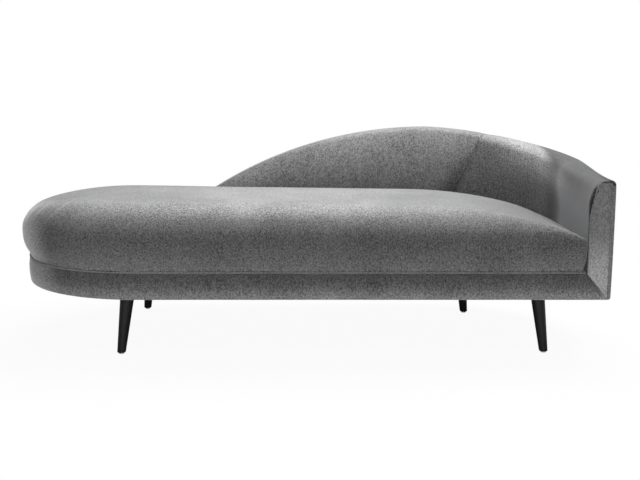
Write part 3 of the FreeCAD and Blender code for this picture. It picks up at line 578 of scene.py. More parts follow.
def outer_cover():
    """Closed thin shell: each loop runs up the outside, in at the seam, down inside, and under the base."""
    rows = outer_stations()
    x, y, in_x, in_y, height = (rows[:, k][:, None] for k in range(5))
    seam = 0.0095 + 0.005 * smooth((np.arange(len(rows))[:, None] - 250) / 60)
    seam = np.minimum(seam, (height - BAND_LOW) * 0.2)
    hem = [(1 - math.cos(a), 1 - math.sin(a)) for a in np.linspace(math.pi / 2, 0, 7)]
    under = [(0.014, -0.0005), *[(HEM_R * across, HEM_R * rise) for across, rise in hem]]
    inset = [i for i, _ in under]
    level = [np.full_like(height, COVER_LOW + z) for _, z in under]
    top = height - seam - 0.0006
    bottom = COVER_LOW + 0.010
    for share in np.linspace(0, 1, 52)[1:-1]:
        inset.append(-0.0022 * math.sin(math.pi * share) ** 0.7)
        level.append(bottom + (top - bottom) * share)
    for i, dz in ((0.0, -0.0015), (0.0007, -0.0004), (0.002, 0.0), (0.004, -0.001), (0.004, -0.03)):
        inset.append(i)
        level.append(top + dz)
    inset.append(0.004)
    level.append(np.full_like(height, bottom + 0.02))
    inset.append(0.014)
    level.append(np.full_like(height, BAND_LOW + 0.004))
    inset = np.array(inset)[None, :]
    level = np.concatenate(level, 1)
    inset = np.broadcast_to(inset, level.shape)
    near_end = np.linspace(0, 1, len(rows))[:, None]
    calm = smooth(near_end / 0.02) * smooth((1 - near_end) / 0.05)
    inset = np.where(inset < 0, inset * calm, inset)
    points = np.stack([x + in_x * inset, y + in_y * inset, level], -1)
    return shell("outer_cover", points, "seat_fabric")


outer_panel = outer_cover()
print("outer cover:", len(outer_panel.data.polygons), "faces")

# %% [markdown]
# The band runs round the base below the cushion, from the slanted mitre seam under the arm to the back's start. One
# section is swept along the plan. Its cloth is padded: the face swells a little, the lower edge is rounded, and the
# upper edge rolls in at the seam.
# %% Band of the base
MITRE_TOP_X = ARM_X - BACK_THICK
MITRE_FOOT_X = ARM_X - 0.012
BAND_HEM_R = 0.008


def mitre_x(z):
    """Where the mitre seam crosses a level."""
    return MITRE_TOP_X + (MITRE_FOOT_X - MITRE_TOP_X) * (SEAM - z) / (SEAM - BAND_LOW)


def band():
    """Closed loop of the band's section, swept round the foot, and slanted at the mitre."""
    loop = [(0.024, 0.0006), (0.018, -0.0006), (0.010, -0.0010)]
    loop += [(BAND_HEM_R * (1 - math.cos(a)), BAND_HEM_R * (1 - math.sin(a))) for a in np.linspace(1.45, 0.05, 9)]
    height = SEAM - BAND_LOW
    face = height - 0.012
    loop += [(-0.0030 * math.sin(math.pi * s) ** 0.8, BAND_HEM_R + face * s) for s in np.linspace(0.04, 0.98, 20)]
    loop += [(0.0001, height - 0.0022), (0.0009, height - 0.0007), (0.0026, height), (0.009, height)]
    loop += [(0.011, height - 0.004), (0.011, 0.012), (0.024, 0.006)]
    loop = np.array(loop)
    loop[:, 1] -= (BAND_LOW - COVER_LOW) * smooth(1 - loop[:, 1] / 0.03)
    plan = walk(base_plan(0, MITRE_FOOT_X, TIP_X - 0.0006), 420)
    ahead = np.gradient(plan, axis=0)
    ahead /= np.linalg.norm(ahead, axis=1, keepdims=True)
    inward = np.stack([ahead[:, 1], -ahead[:, 0]], 1)
    along = lengths(plan)
    end = tuck(along, 0.0025) + tuck(along[-1] - along, 0.005)
    inset = loop[None, :, 0] + end[:, None] * (loop[None, :, 0] < 0.01)
    points = np.concatenate([plan[:, None, :] + inward[:, None, :] * inset[..., None],
                             np.broadcast_to(BAND_LOW + loop[None, :, 1, None], (len(plan), len(loop), 1))], 2)
    share = smooth((points[..., 0] - 0.60) / (MITRE_FOOT_X - 0.60)) * (points[..., 1] < 0)
    target = mitre_x(points[..., 2]) - 0.0002
    points[..., 0] += (target - MITRE_FOOT_X) * share
    points[..., :2] += (ripple(points, 0.35, 3) * 0.0006)[..., None] * -inward[:, None, :]
    return shell("band", points, "seat_fabric")


band_piece = band()
print("band:", len(band_piece.data.polygons), "faces")

# %% [markdown]
# The front of the arm is closed by a facing, a stiff board with its own thin pad and cover. Its panel is cut to the
# shape of the arm's end, slanted below where it meets the band, and it swells gently between its seams. A thin
# self-covered welt lies in the seam round it: a tube of small circles that is carried along the seam's route
# without twisting.
# %% Facing of the arm
FACE_LEFT = MITRE_TOP_X + 0.0012
FACE_RIGHT = ARM_X - 0.0125
FACE_TOP = ARM_TOP - 0.008


def facing_sides(z):
    """Left and right edge of the panel at a height, with a round corner at each top and a small one at the foot."""
    left = np.where(z < SEAM, mitre_x(z) + 0.0003, FACE_LEFT + arm_taper(z)) + tuck(FACE_TOP - z, 0.010)
    right = FACE_RIGHT - tuck(FACE_TOP - z, 0.013) - tuck(z - COVER_LOW, 0.002) * 0.6
    return left, np.maximum(right, left + 0.0012)


def facing():
    """Closed pillow: each loop crosses the front at one height and comes back behind it."""
    z = np.r_[np.linspace(COVER_LOW + 0.0006, SEAM, 40), np.linspace(SEAM, FACE_TOP - 0.014, 76)[1:],
              FACE_TOP - 0.014 * (1 - np.sin(np.linspace(0, math.pi / 2, 10)[1:]))]
    left, right = facing_sides(z)
    share = 0.5 - 0.5 * np.cos(np.linspace(0, math.pi, 26))
    x = left[:, None] + (right - left)[:, None] * share
    edge = np.minimum(np.minimum(x - left[:, None], right[:, None] - x), FACE_TOP - z[:, None])
    edge = np.maximum(edge, 0)
    swell = 0.0042 * (1 - np.exp(-edge / 0.006))
    height = np.broadcast_to(z[:, None], x.shape)
    front = np.stack([x, -DEPTH + 0.0008 - swell, height], -1)
    front[..., 1] -= ripple(front, 0.16, 11) * 0.0007 * smooth(edge / 0.02)
    across = x - FACE_LEFT
    crease = FACE_TOP - 0.030 + across * 0.35
    fold = np.exp(-((height - crease) / 0.006) ** 2) * smooth((0.05 - across) / 0.03)
    front[..., 1] += fold * 0.0022
    back = np.stack([x, np.full_like(x, -DEPTH + 0.0045), height], -1)[:, ::-1]
    return shell("arm_facing", np.concatenate([front, back], 1), "seat_fabric")


facing_piece = facing()
print("faces of the facing:", len(facing_piece.data.polygons))

# %% [markdown]
# Round the facing runs a thin cord, sewn into the seam. A cord is a tube: circles stand across a path, and each one
# is turned as little as can be against the one before it.
# %% Cord of the facing
def tube(name, path, radius, slot, body="frame", closed=False, sides=12):
    """Cord along a path: at each point a circle square to the path, with frames carried along without twist."""
    path = np.asarray(path, float)
    ahead = np.roll(path, -1, 0) - np.roll(path, 1, 0) if closed else np.gradient(path, axis=0)
    ahead /= np.linalg.norm(ahead, axis=1, keepdims=True)
    across = np.cross(ahead[0], [0.3, 0.1, 0.9])
    frames = []
    for direction in ahead:
        across = across - direction * (across @ direction)
        across /= np.linalg.norm(across)
        frames.append((across, np.cross(direction, across)))
    frames = np.array(frames)
    turn = np.linspace(0, 2 * math.pi, sides, endpoint=False)[:, None]
    radius = np.broadcast_to(np.asarray(radius, float), len(path))
    rings = path[:, None, :] + radius[:, None, None] * (frames[:, 0][:, None, :] * np.cos(turn) +
                                                        frames[:, 1][:, None, :] * np.sin(turn))
    return shell(name, rings, slot, body, wrap=closed, sharp=60)


WELT_R = 0.0017
WELT_POINTS = 260


def welt_route():
    """Up the seat side of the facing, round its two upper corners, and down its outer side."""
    rising = np.linspace(SEAM + 0.002, FACE_TOP - 0.012, 90)
    falling = np.linspace(FACE_TOP - 0.016, BAND_LOW + 0.006, 150)
    left_turn = np.linspace(math.pi, math.pi / 2, 10)[1:]
    right_turn = np.linspace(math.pi / 2, math.pi, 10) - math.pi / 2
    left_x = FACE_LEFT + arm_taper(FACE_TOP) + 0.011
    runs = [(FACE_LEFT - 0.0002 + arm_taper(rising), rising),
            (left_x + 0.0112 * np.cos(left_turn), FACE_TOP - 0.011 + 0.0117 * np.sin(left_turn)),
            (FACE_RIGHT - 0.013 + 0.0136 * np.cos(right_turn), FACE_TOP - 0.013 + 0.0137 * np.sin(right_turn)),
            (np.full(len(falling), FACE_RIGHT + 0.0006), falling)]
    x, z = walk(np.concatenate([np.stack(run, 1) for run in runs]), WELT_POINTS).T
    return np.stack([x, np.full(WELT_POINTS, -DEPTH - 0.0004), z], 1)


facing_welt = tube("arm_facing_cord", welt_route(), WELT_R, "welt_fabric")
print("faces of the cord:", len(facing_welt.data.polygons))

# %% [markdown]
# The loose cushion follows the plan of the seat. It overhangs the base in front and round the foot, and steps in by
# two arcs to lie inside the back and the arm. At each level its sides stand at their own inset: drawn in at the
# seam below, widest at its middle, and rolled in to a crowned top. The top rises slightly towards the foot, where
# it rounds off, and it falls away to the arm and to the back.
# %% Plan of the cushion
CUSHION_TOP = 0.1846
BULGE = 0.094
LIP = 0.007
RISE = 0.024
CROWN_FALL_X = 0.360
CROWN_FALL_R = 1.500
CROWN_REAR_R = 1.390
CROWN_FOOT_X = -0.580
CROWN_FOOT_R = 1.000
FOOT_SWELL = 0.005


def seat_plan(inset, held):
    """Closed plan with one inset on the open sides and one against back and arm, always of as many points."""
    y = DEPTH + OVERHANG - inset
    inner = DEPTH - BACK_THICK - FIT_GAP - held
    step = y - inner
    bend = (RUN ** 2 + step ** 2) / 4 / step
    turn = math.degrees(math.asin(RUN / 2 / bend))
    x = ARM_X - BACK_THICK - FIT_GAP - held
    fillet = 0.004 + inset / 8
    runs = [(np.array([(x - fillet, -y), (FOOT_X, -y)]), 150),
            (arc((FOOT_X, 0), y, -90, -270), 150),
            (arc((FOOT_X, y - bend), bend, 90, 90 - turn), 14),
            (arc((BEND_X, inner + bend), bend, 270 - turn, 270), 14),
            (np.array([(BEND_X, inner), (CORNER_X, inner)]), 70),
            (arc((CORNER_X, CORNER_Y), inner - CORNER_Y, 90, 0), 66),
            (np.array([(x, CORNER_Y), (x, -y + fillet)]), 30),
            (arc((x - fillet, -y + fillet), fillet, 0, -90, 0.001), 9)]
    return np.concatenate([walk(points, count)[:-1] for points, count in runs])


def crown(x, y, slope=RISE / (MITRE_TOP_X - FOOT_X + DEPTH)):
    """Height of the top without its edges: a slope to the foot less its falls to arm, back and foot."""
    fall = np.maximum(x - CROWN_FALL_X, 0) ** 2 / (2 * CROWN_FALL_R)
    rear = np.maximum(y, 0) ** 2 / (2 * CROWN_REAR_R)
    foot = np.maximum(CROWN_FOOT_X - x, 0) ** 2 / (2 * CROWN_FOOT_R)
    return CUSHION_LOW + CUSHION_TOP + slope * (MITRE_TOP_X - x) - fall - rear - foot


def soft_least(first, second, width):
    """The lower of two heights, rounded where they cross: their mean less half the root of their gap squared."""
    return (first + second) / 2 - np.sqrt((first - second) ** 2 + width ** 2) / 2


print("the cushion's rear and foot fall along circles of", CROWN_REAR_R, "and", CROWN_FOOT_R, "m")

# %% [markdown]
# The cushion is laid up in rings like the plan, one above another. The lowest is drawn in, where the cover is sewn to
# its bottom panel, and the top and the bottom close towards a line in the middle.
# %% Rings of the cushion
DRAWN = 0.024
HELD = 0.003


def cushion_rings():
    """Rings of the cushion from the middle of its underside, up its side, and over to the middle of its top."""
    levels = [(0.0, DRAWN, HELD, 0.0), (LIP, DRAWN, HELD, 0.0)]
    for share in np.linspace(0, 1, 14)[1:-1]:
        left = (1 - share) ** 3.2
        levels.append((LIP + share * (BULGE - LIP), DRAWN * left, HELD * left, 0.0))
    for turn in np.radians(np.linspace(0, 84, 26)):
        fall = 1 - math.cos(turn)
        levels.append((BULGE + (CUSHION_TOP - BULGE) * math.sin(turn), 0.150 * fall, 0.120 * fall, math.sin(turn)))
    rings = []
    for level, inset, held, tilt in levels:
        plan = seat_plan(inset, held)
        rise = RISE * tilt ** 2 * (MITRE_TOP_X - plan[:, 0]) / (MITRE_TOP_X - FOOT_X + DEPTH)
        rings.append(np.c_[plan, CUSHION_LOW + level + rise])

    def spine(ring):
        """The middle line of the cushion, to which a ring shrinks: each point's x, held off both ends, at y = 0."""
        return np.stack([np.clip(ring[:, 0], FOOT_X + 0.1, 0.60), np.zeros(len(ring)), ring[:, 2]], 1)

    top, bottom = rings[-1], rings[0]
    over = [top + (spine(top) - top) * share + [0, 0, 0.0045 * math.sin(share * math.pi / 2)]
            for share in np.linspace(0, 1, 34)[1:]]
    under = [bottom + (spine(bottom) - bottom) * share for share in np.linspace(1, 0, 34)[:-1]]
    whole = np.array(under + rings + over)
    x, y, z = np.moveaxis(whole, -1, 0)
    upper = smooth((z - CUSHION_LOW - 0.05) / 0.03)
    whole[..., 2] += (soft_least(z, crown(x, y), 0.012) + 0.001 - z) * upper
    share = np.clip((z - CUSHION_LOW) / CUSHION_TOP, 0, 1)
    whole[..., 0] -= FOOT_SWELL * smooth((FOOT_X - x) / 0.3) * np.sin(math.pi * share ** 0.8)
    return whole


rings = cushion_rings()
print("cushion rings:", rings.shape)

# %% [markdown]
# The rings become a closed mesh. A real cushion gets its last shape when its cover is filled, and cloth simulation
# does the same: the mesh is remeshed into even squares, blown up for twenty frames while its underside is pinned,
# and each point's way is capped. Points that would press into the wall or the deck are held back to the faces that
# they touch.
# %% Cloth helpers
VOXEL = 0.010
BLOW_FRAMES = 20
BLOW_PRESSURE = 4.0
BLOW_CAP = 0.007


def coordinates(mesh):
    """A mesh's points as one array, a row for each."""
    points = np.empty(len(mesh.vertices) * 3, np.float32)
    mesh.vertices.foreach_get("co", points)
    return points.reshape(-1, 3).astype(float)


def frozen(piece):
    """A mesh with the object's modifiers worked in."""
    graph = bpy.context.evaluated_depsgraph_get()
    return bpy.data.meshes.new_from_object(piece.evaluated_get(graph), depsgraph=graph)


def remeshed(piece, voxel):
    """Replaces the mesh by an even one of square faces."""
    change = piece.modifiers.new("remesh", "REMESH")
    change.mode = "VOXEL"
    change.voxel_size = voxel
    mesh = frozen(piece)
    piece.modifiers.clear()
    piece.data = mesh


def blown(piece, pinned, pressure, cap):
    """Places after some frames of pressure; a way longer than the cap is shortened to it."""
    rest = coordinates(piece.data)
    group = piece.vertex_groups.new(name="pinned")
    group.add([int(i) for i in np.nonzero(pinned(rest))[0]], 1.0, "REPLACE")
    cloth = piece.modifiers.new("cloth", "CLOTH")
    settings = cloth.settings
    settings.quality = 5
    settings.mass = 0.3
    settings.tension_stiffness = settings.compression_stiffness = 14
    settings.shear_stiffness = 4
    settings.bending_stiffness = 0.6
    settings.shrink_min = -0.012
    settings.use_pressure = True
    settings.uniform_pressure_force = pressure
    settings.effector_weights.gravity = 0
    settings.vertex_group_mass = "pinned"
    cloth.collision_settings.use_collision = False
    cloth.point_cache.frame_end = BLOW_FRAMES
    for step in range(1, BLOW_FRAMES + 1):
        bpy.context.scene.frame_set(step)
    mesh = frozen(piece)
    way = coordinates(mesh) - rest
    bpy.data.meshes.remove(mesh)
    piece.modifiers.clear()
    piece.vertex_groups.clear()
    bpy.context.scene.frame_set(1)
    reach = np.linalg.norm(way, axis=1, keepdims=True)
    return rest + way * np.minimum(1, cap / np.maximum(reach, 1e-9)), reach


def held_back(points):
    """Keeps points off the wall and the deck: behind flat faces, and inside the corner's circle."""
    x, y, z = points.T
    wall_y = DEPTH - BACK_THICK - FIT_GAP
    right = ARM_X - BACK_THICK - FIT_GAP
    y = np.where((x > BEND_X) & (x <= CORNER_X), np.minimum(y, wall_y), y)
    far = np.hypot(x - CORNER_X, y - CORNER_Y)
    pull = np.where((x > CORNER_X) & (y > CORNER_Y), np.minimum(1, (wall_y - CORNER_Y) / np.maximum(far, 1e-6)), 1)
    x, y = CORNER_X + (x - CORNER_X) * pull, CORNER_Y + (y - CORNER_Y) * pull
    x = np.minimum(x, right)
    return np.stack([x, y, np.maximum(z, CUSHION_LOW + FIT_GAP)], 1)


print(f"squares of {VOXEL * 1000:.0f} mm, blown for {BLOW_FRAMES} frames")

# %% [markdown]
# After the simulation one level of subdivision rounds the squares. The cushion's lower edge has a self-covered
# cord, which is laid in after the cushion is blown, so that it stays even.
# %% Cushion
cushion = shell("seat_cushion", rings, "seat_fabric", "cushion")
remeshed(cushion, VOXEL)
shape, reach = blown(cushion, lambda p: p[:, 2] < CUSHION_LOW + 0.004, BLOW_PRESSURE, BLOW_CAP)
print(f"cushion moved by up to {reach.max() * 1000:.1f} mm before the cap")
seated = held_back(shape)
cushion.data.vertices.foreach_set("co", seated.astype(np.float32).ravel())
rounding = cushion.modifiers.new("rounding", "SUBSURF")
rounding.levels = rounding.render_levels = 1
cushion.data = frozen(cushion)
cushion.modifiers.clear()
cushion.data.shade_smooth()

lip_plan = seat_plan(DRAWN - 0.0020, HELD - 0.0004)
lip_path = walk(np.r_[lip_plan, lip_plan[:1]], 900)[:-1]
lip_path = np.c_[lip_path, np.full(len(lip_path), CUSHION_LOW + 0.0028)]
cushion_cord = tube("cushion_cord", lip_path, 0.0021, "welt_fabric", "cushion", closed=True, sides=10)
print("cushion:", len(cushion.data.polygons), "faces")

# %% [markdown]
# Below, a black cloth closes the frame. It is one flat sheet that ends short of the rounded lower edge of the
# covers, with a round hole for each leg. A filled curve in a plane gives its faces, because it cuts holes by
# itself.
# %% Dust cover
LEG_TOPS = {"front_left": (-0.537, -0.275), "front_right": (0.738, -0.259),
            "rear_left": (-0.561, 0.257), "rear_right": (0.565, 0.200)}
HOLE_R = 0.042
DUST_INSET = 0.0145


def dust_outline(inset):
    """Plan of the whole base at an inset: the foot, the rear, the corner's circle and the front."""
    right = ARM_X - inset
    corner = arc((CORNER_X, CORNER_Y), CORNER_R - inset, 90, 0, 0.01)
    return chain([(right, -DEPTH + inset)], base_plan(inset, right), corner, [(right, -DEPTH + 0.02)])


def dust_cover():
    """Closed flat sheet one millimetre thick, from a filled curve with holes."""
    curve = bpy.data.curves.new("dust_sheet", "CURVE")
    curve.dimensions = "2D"
    curve.fill_mode = "BOTH"
    curve.extrude = 0.0004
    cut = dust_outline(DUST_INSET)
    loops = [cut] + [arc(centre, HOLE_R, 0, 352, 0.006) for centre in LEG_TOPS.values()]
    for loop in loops:
        spline = curve.splines.new("POLY")
        spline.points.add(len(loop) - 1)
        spline.points.foreach_set("co", np.c_[loop, np.zeros(len(loop)), np.ones(len(loop))].ravel())
        spline.use_cyclic_u = True
    drawn = bpy.data.objects.new("dust_sheet", curve)
    bpy.context.scene.collection.objects.link(drawn)
    mesh = frozen(drawn)
    points = coordinates(mesh) + [0, 0, BAND_LOW + 0.0006]
    faces = [tuple(face.vertices) for face in mesh.polygons]
    bpy.data.objects.remove(drawn)
    area = 0.5 * abs(np.sum(cut[:, 0] * np.roll(cut[:, 1], -1) - cut[:, 1] * np.roll(cut[:, 0], -1)))
    area -= len(LEG_TOPS) * math.pi * HOLE_R ** 2
    piece = add_piece("dust_sheet", points, faces, "dust_cloth")
    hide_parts("dust_cover")
    return piece


dust_sheet = dust_cover()
print("dust cover:", len(dust_sheet.data.polygons), "faces")

# %% [markdown]
# Each leg is a tapered round peg that leans out both ways. It is cut level above and below, so its rings are level
# circles whose middles follow the leaning axis, and its lower edge is eased. Each leg is drawn from its rings,
# because the frame's legs have facets that would show in the lacquer.
# %% Legs
LEG_TOP_Z = 0.200
GLIDE_TOP = 0.004
LEG_TOP_R = 0.0230
LEG_FOOT_R = 0.01325
LEG_SIDES = 56
LEAN_ALONG, LEAN_ACROSS = math.tan(math.radians(6.5)), math.tan(math.radians(7))


def leg(corner):
    """Level rings from the eased foot to the top under the frame."""
    top_x, top_y = LEG_TOPS[corner]
    rise = np.r_[GLIDE_TOP, GLIDE_TOP + 0.0006, GLIDE_TOP + 0.0018, np.linspace(0.008, LEG_TOP_Z - 0.002, 30)]
    share = (rise - GLIDE_TOP) / (LEG_TOP_Z - GLIDE_TOP)
    eased = np.r_[0.0016, 0.0006, np.zeros(len(rise) - 2)]
    radius = LEG_FOOT_R + (LEG_TOP_R - LEG_FOOT_R) * share - eased
    turn = np.linspace(0, 2 * math.pi, LEG_SIDES, endpoint=False)
    x = top_x + math.copysign(LEAN_ALONG, top_x) * (LEG_TOP_Z - rise)
    y = top_y + math.copysign(LEAN_ACROSS, top_y) * (LEG_TOP_Z - rise)
    level = np.broadcast_to(rise[:, None], (len(rise), LEG_SIDES))
    loops = np.stack([x[:, None] + radius[:, None] * np.cos(turn), y[:, None] + radius[:, None] * np.sin(turn),
                      level], -1)
    piece = shell(corner + "_turned_leg", loops, "leg_finish", sharp=50)
    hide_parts(corner + "_leg")
    return piece


legs = [leg(corner) for corner in LEG_TOPS]
print("legs:", ", ".join(piece.name for piece in legs))

# %% [markdown]
# Now every cloth piece stands for the solids whose place it takes, and these are hidden: a panel for its
# cover and its foam, the cushion for its cover, its wrap and its core.
# %% What stands for what
STANDS_FOR = {
    back_panel: ["inner_back_cover", "back_foam", "top_roll_pad"],
    corner_panel: ["inner_corner_cover", "corner_foam"],
    outer_panel: ["outer_back_cover", "outer_back_pad"],
    band_piece: ["band_cover", "band_foam"],
    facing_piece: ["arm_facing_cover", "arm_facing_pad"],
    facing_welt: ["arm_facing_welt"],
    cushion: ["cushion_cover", "cushion_fibre_wrap", "cushion_foam_core"],
    cushion_cord: ["cushion_welt"],
}
for piece, nodes in STANDS_FOR.items():
    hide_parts(*nodes)
print("solids stood for:", sum(len(nodes) for nodes in STANDS_FOR.values()) + len(legs))

# %% [markdown]
# Light and shade are painted into the cloth: each cloth piece keeps a value per point, nought where it is neutral,
# more where painted light falls and less where painted shade falls. Seat and band get painted shade below their
# shoulders, the back gets painted light towards its edge, and both sides of the valley get painted shade. The
# values belong to places on this chaise, so they are stored on its points and not worked out by the material.
# %% Painted light and shade
def paint_light_and_shade(piece, value):
    """Stores painted light and shade on every point, from a function of x, y and z."""
    x, y, z = coordinates(piece.data).T
    layer = piece.data.attributes.new("pile_relief_and_painted_light", "FLOAT", "POINT")
    layer.data.foreach_set("value", value(x, y, z).astype(np.float32))


def wall_top(x, y):
    """Height of the wall's edge above a place on it."""
    turn = np.arctan2(y - CORNER_Y, np.maximum(x - CORNER_X, 1e-6))
    bent = CORNER_R * (math.pi / 2 - np.maximum(turn, 0)) + np.maximum(CORNER_Y - y, 0)
    share = np.clip(bent / (CORNER_R * math.pi / 2 + CORNER_Y + DEPTH), 0, 1)
    return np.where(x < CORNER_X, fall_height(np.clip(x, NOSE_X, CORNER_X)), arm_fall(share))


def valley_shade(x, z, width):
    """Painted shade beside the valley's crease: most low down, and none near the top."""
    low_x, low_z = VALLEY_LOW
    high_x, high_z = VALLEY_HIGH
    beside = x - low_x - (high_x - low_x) * (z - low_z) / (high_z - low_z)
    return 0.65 * np.exp(-(beside / width) ** 2) * smooth((0.62 - z) / 0.13)


def back_painted_light(x, y, z):
    """Painted light towards the edge but not on its roll, painted shade to the foot and low down by the corner."""
    below = wall_top(x, y) - z
    roll = smooth(1 - below / 0.022)
    upper = 1.8 * np.exp(-np.maximum(below, 0) / 0.085) * (1 - roll)
    low_side = 0.35 * smooth((x - 0.42) / 0.15) * smooth((0.50 - z) / 0.20)
    far = 0.4 * smooth((0.15 - x) / 0.4)
    return 0.40 + upper - 0.35 * roll - far - low_side - valley_shade(x, z, 0.045)


def corner_painted_light(x, y, z):
    """Painted light in a strip below the edge, painted shade on the flat of the arm, darker low down in the corner.
    """
    below = wall_top(x, y) - z
    roll = smooth(1 - below / 0.022)
    arm = smooth((x - 0.818) / 0.031)
    strip = 0.80 * np.exp(-((below - 0.038) / 0.042) ** 2) * (0.1 + 0.9 * smooth((x - 0.66) / 0.12))
    curved = 0.42 - 0.25 * roll - 0.25 * smooth((0.52 - z) / 0.10)
    flat = -0.90 + 0.2 * roll
    return curved * (1 - arm) + flat * arm + strip * (1 - 0.75 * arm) - valley_shade(x, z, 0.020)


def seat_painted_light(x, y, z):
    """Painted shade at mid height, and painted light at the foot's rim and in the middle of the top."""
    rim = 1.25 * smooth((-0.755 - x) / 0.1) * smooth((0.43 - z) / 0.05)
    middle = 0.45 * np.exp(-((x + 0.1) / 0.45) ** 2) * smooth((z - 0.43) / 0.03)
    heights = [0.276, 0.30, 0.33, 0.37, 0.40, 0.43, 0.465]
    return rim + middle + np.interp(z, heights, [0.25, -0.08, -0.30, -0.42, -0.36, -0.2, 0.1])


def band_painted_light(x, y, z):
    """Painted light at the hem and at the foot's rim, and painted shade under the cushion."""
    rim = 0.8 * smooth((-0.72 - x) / 0.09)
    return rim + np.interp(z, [0.198, 0.215, 0.235, 0.25, 0.275], [0.50, 0.1, -0.30, -0.45, -0.55])


paint_light_and_shade(back_panel, back_painted_light)
paint_light_and_shade(corner_panel, corner_painted_light)
paint_light_and_shade(cushion, seat_painted_light)
paint_light_and_shade(band_piece, band_painted_light)
# Painted light thrown up by the floor: the outer cover lighter at its foot, the facing lighter towards the bottom.
paint_light_and_shade(outer_panel, lambda x, y, z: 0.3 * smooth((0.26 - z) / 0.06))
paint_light_and_shade(facing_piece, lambda x, y, z: 0.10 + 1.15 * smooth((0.42 - z) / 0.18))

# %% [markdown]
# ## Finishes
# Chenille is a pile cloth. From the side its pile is dark, and at a glancing angle its tips catch the light. Its
# yarns differ a little in grey, which gives a speckle of tufts, faint streaks along the grain and larger crushed
# zones. Colour and a fine bump come from noise at the place on the object, so the cloth keeps its scale on every
# piece. Faces that look up get painted light: their colour is made lighter, as if lit from above.
# %% Chenille
UPWARD_PAINTED_LIGHT = 1.55
STREAK, TUFT, CRUSH, YARN = 0.55, 2.5, 0.55, 0.7


def chenille(name, dark, light, turn=(0, 0, 0)):
    """Pile cloth with streaks along the grain, down upright faces and from front to back on level ones."""
    finish = Finish(name)
    normal = finish.node("NewGeometry").out("Normal")
    upward = finish.node("SeparateXYZ", None, {0: normal}).out("Z")
    level = finish.node("MapRange", {"interpolation_type": "SMOOTHSTEP"}, {0: upward, 1: 0.55, 2: 0.9}).out(0)
    down = finish.noise(finish.place((330, 330, 16), turn), 1.0, 3.0, 0.6)
    across = finish.noise(finish.place((330, 16, 330)), 1.0, 3.0, 0.6)
    streaks = down + (across - down) * level
    tufts = finish.noise(finish.place((240, 240, 200), turn), 1.0, 3.0, 0.6)
    crush = finish.noise(finish.place((7, 7, 5)), 1.0, 3.0, 0.55)
    yarn = finish.noise(finish.place((620, 620, 620)), 1.0, 2.0, 0.5)
    shade = (streaks - 0.5) * STREAK + (tufts - 0.5) * TUFT + (crush - 0.5) * CRUSH
    shade = shade + (yarn - 0.5) * YARN + 0.5
    middle = tuple((a + b) / 2 for a, b in zip(dark, light))
    colour = finish.ramp(shade, [(0.05, dark), (0.5, middle), (0.95, light)])
    # Painted light and shade: faces that look up are painted lighter, and each point's stored value paints it lighter
    # or darker.
    rising = {0: upward, 1: 0.10, 2: 0.98, 3: 1.0, 4: UPWARD_PAINTED_LIGHT}
    upward_painted_light = finish.node("MapRange", {"interpolation_type": "SMOOTHERSTEP"}, rising).out(0)
    brushed_steel_and_painted_light = upward_painted_light * (finish.node("Attribute", {"attribute_name": "pile_relief_and_painted_light"}).out("Fac") + 1.0)
    painted_light_grey = finish.node("CombineColor", None, {0: brushed_steel_and_painted_light, 1: brushed_steel_and_painted_light, 2: brushed_steel_and_painted_light}).out(0)
    colour = finish.blend(1.0, colour, painted_light_grey, "MULTIPLY")
    pile_relief_and_painted_light = finish.bump(streaks * 0.4 + tufts * 0.4 + yarn * 0.2, 0.0009, 0.55)
    finish.set(base_color=colour, roughness=0.92, sheen_weight=0.7, sheen_roughness=0.35, specular_ior_level=0.12,
               sheen_tint=(0.93, 0.94, 0.96, 1), normal=pile_relief_and_painted_light)
    return finish.material


CLOTH_DARK = (0.062, 0.062, 0.063)
CLOTH_LIGHT = (0.240, 0.240, 0.241)
print("grey of the cloth from", CLOTH_DARK[0], "to", CLOTH_LIGHT[0])

# %% [markdown]
# The hidden cloths are plain. The deck's cloth and the dust cover are woven, so two sets of long, thin noise cross
# at a right angle. Foam, felt and fibre fill are cellular: small cells with larger tufts over them.
# %% Woven and cellular stuffs
def plain_cloth(name, colour, scale, depth=0.0004, rough=0.95):
    """Flat woven or needled cloth: a fine two-way weave in colour and in bump."""
    finish = Finish(name)
    warp = finish.noise(finish.place((scale, scale * 0.06, scale)), 1.0, 2.0)
    weft = finish.noise(finish.place((scale * 0.06, scale, scale)), 1.0, 2.0)
    weave = warp * 0.5 + weft * 0.5
    low = tuple(c * 0.72 for c in colour)
    high = tuple(min(1, c * 1.25) for c in colour)
    finish.set(base_color=finish.ramp(weave, [(0.3, low), (0.7, high)]), roughness=rough, specular_ior_level=0.15,
               normal=finish.bump(weave, depth, 0.6))
    return finish.material


def cellular(name, dark, light, scale, depth):
    """Foam, felt or fibre: small cells or tufts from layered noise."""
    finish = Finish(name)
    cells = finish.node("TexVoronoi", None, {"Vector": finish.place((scale, scale, scale)), "Scale": 1.0})
    tufts = finish.noise(finish.place((scale * 0.3,) * 3), 1.0, 4.0, 0.6)
    mix = cells.out("Distance") * 0.4 + tufts * 0.6
    finish.set(base_color=finish.ramp(mix, [(0.25, dark), (0.7, light)]), roughness=0.97, specular_ior_level=0.1,
               normal=finish.bump(mix, depth, 0.6))
    return finish.material


print("woven and cellular stuffs are ready")

# %% [markdown]
# The frame is planed hardwood and plywood, its fittings are plated steel, and the legs are lacquered black. Each
# gets the unevenness that its making leaves: long grain, a brushed sheen, a faint smudge in the lacquer, or a
# mottle in moulded plastic.
# %% Wood, lacquer, metal and plastic
def timber(name, dark, light, rough=0.6, coat=0.0, depth=0.0002):
    """Wood: long grain along X from stretched noise, crossed by fine pores."""
    finish = Finish(name)
    grain = finish.noise(finish.place((3, 42, 42)), 1.0, 5.0, 0.6)
    pores = finish.noise(finish.place((22, 420, 420)), 1.0, 2.0)
    figure = grain * 0.8 + pores * 0.2
    finish.set(base_color=finish.ramp(figure, [(0.3, dark), (0.7, light)]), roughness=rough, coat_weight=coat,
               coat_roughness=0.25, normal=finish.bump(figure, depth, 0.4))
    return finish.material


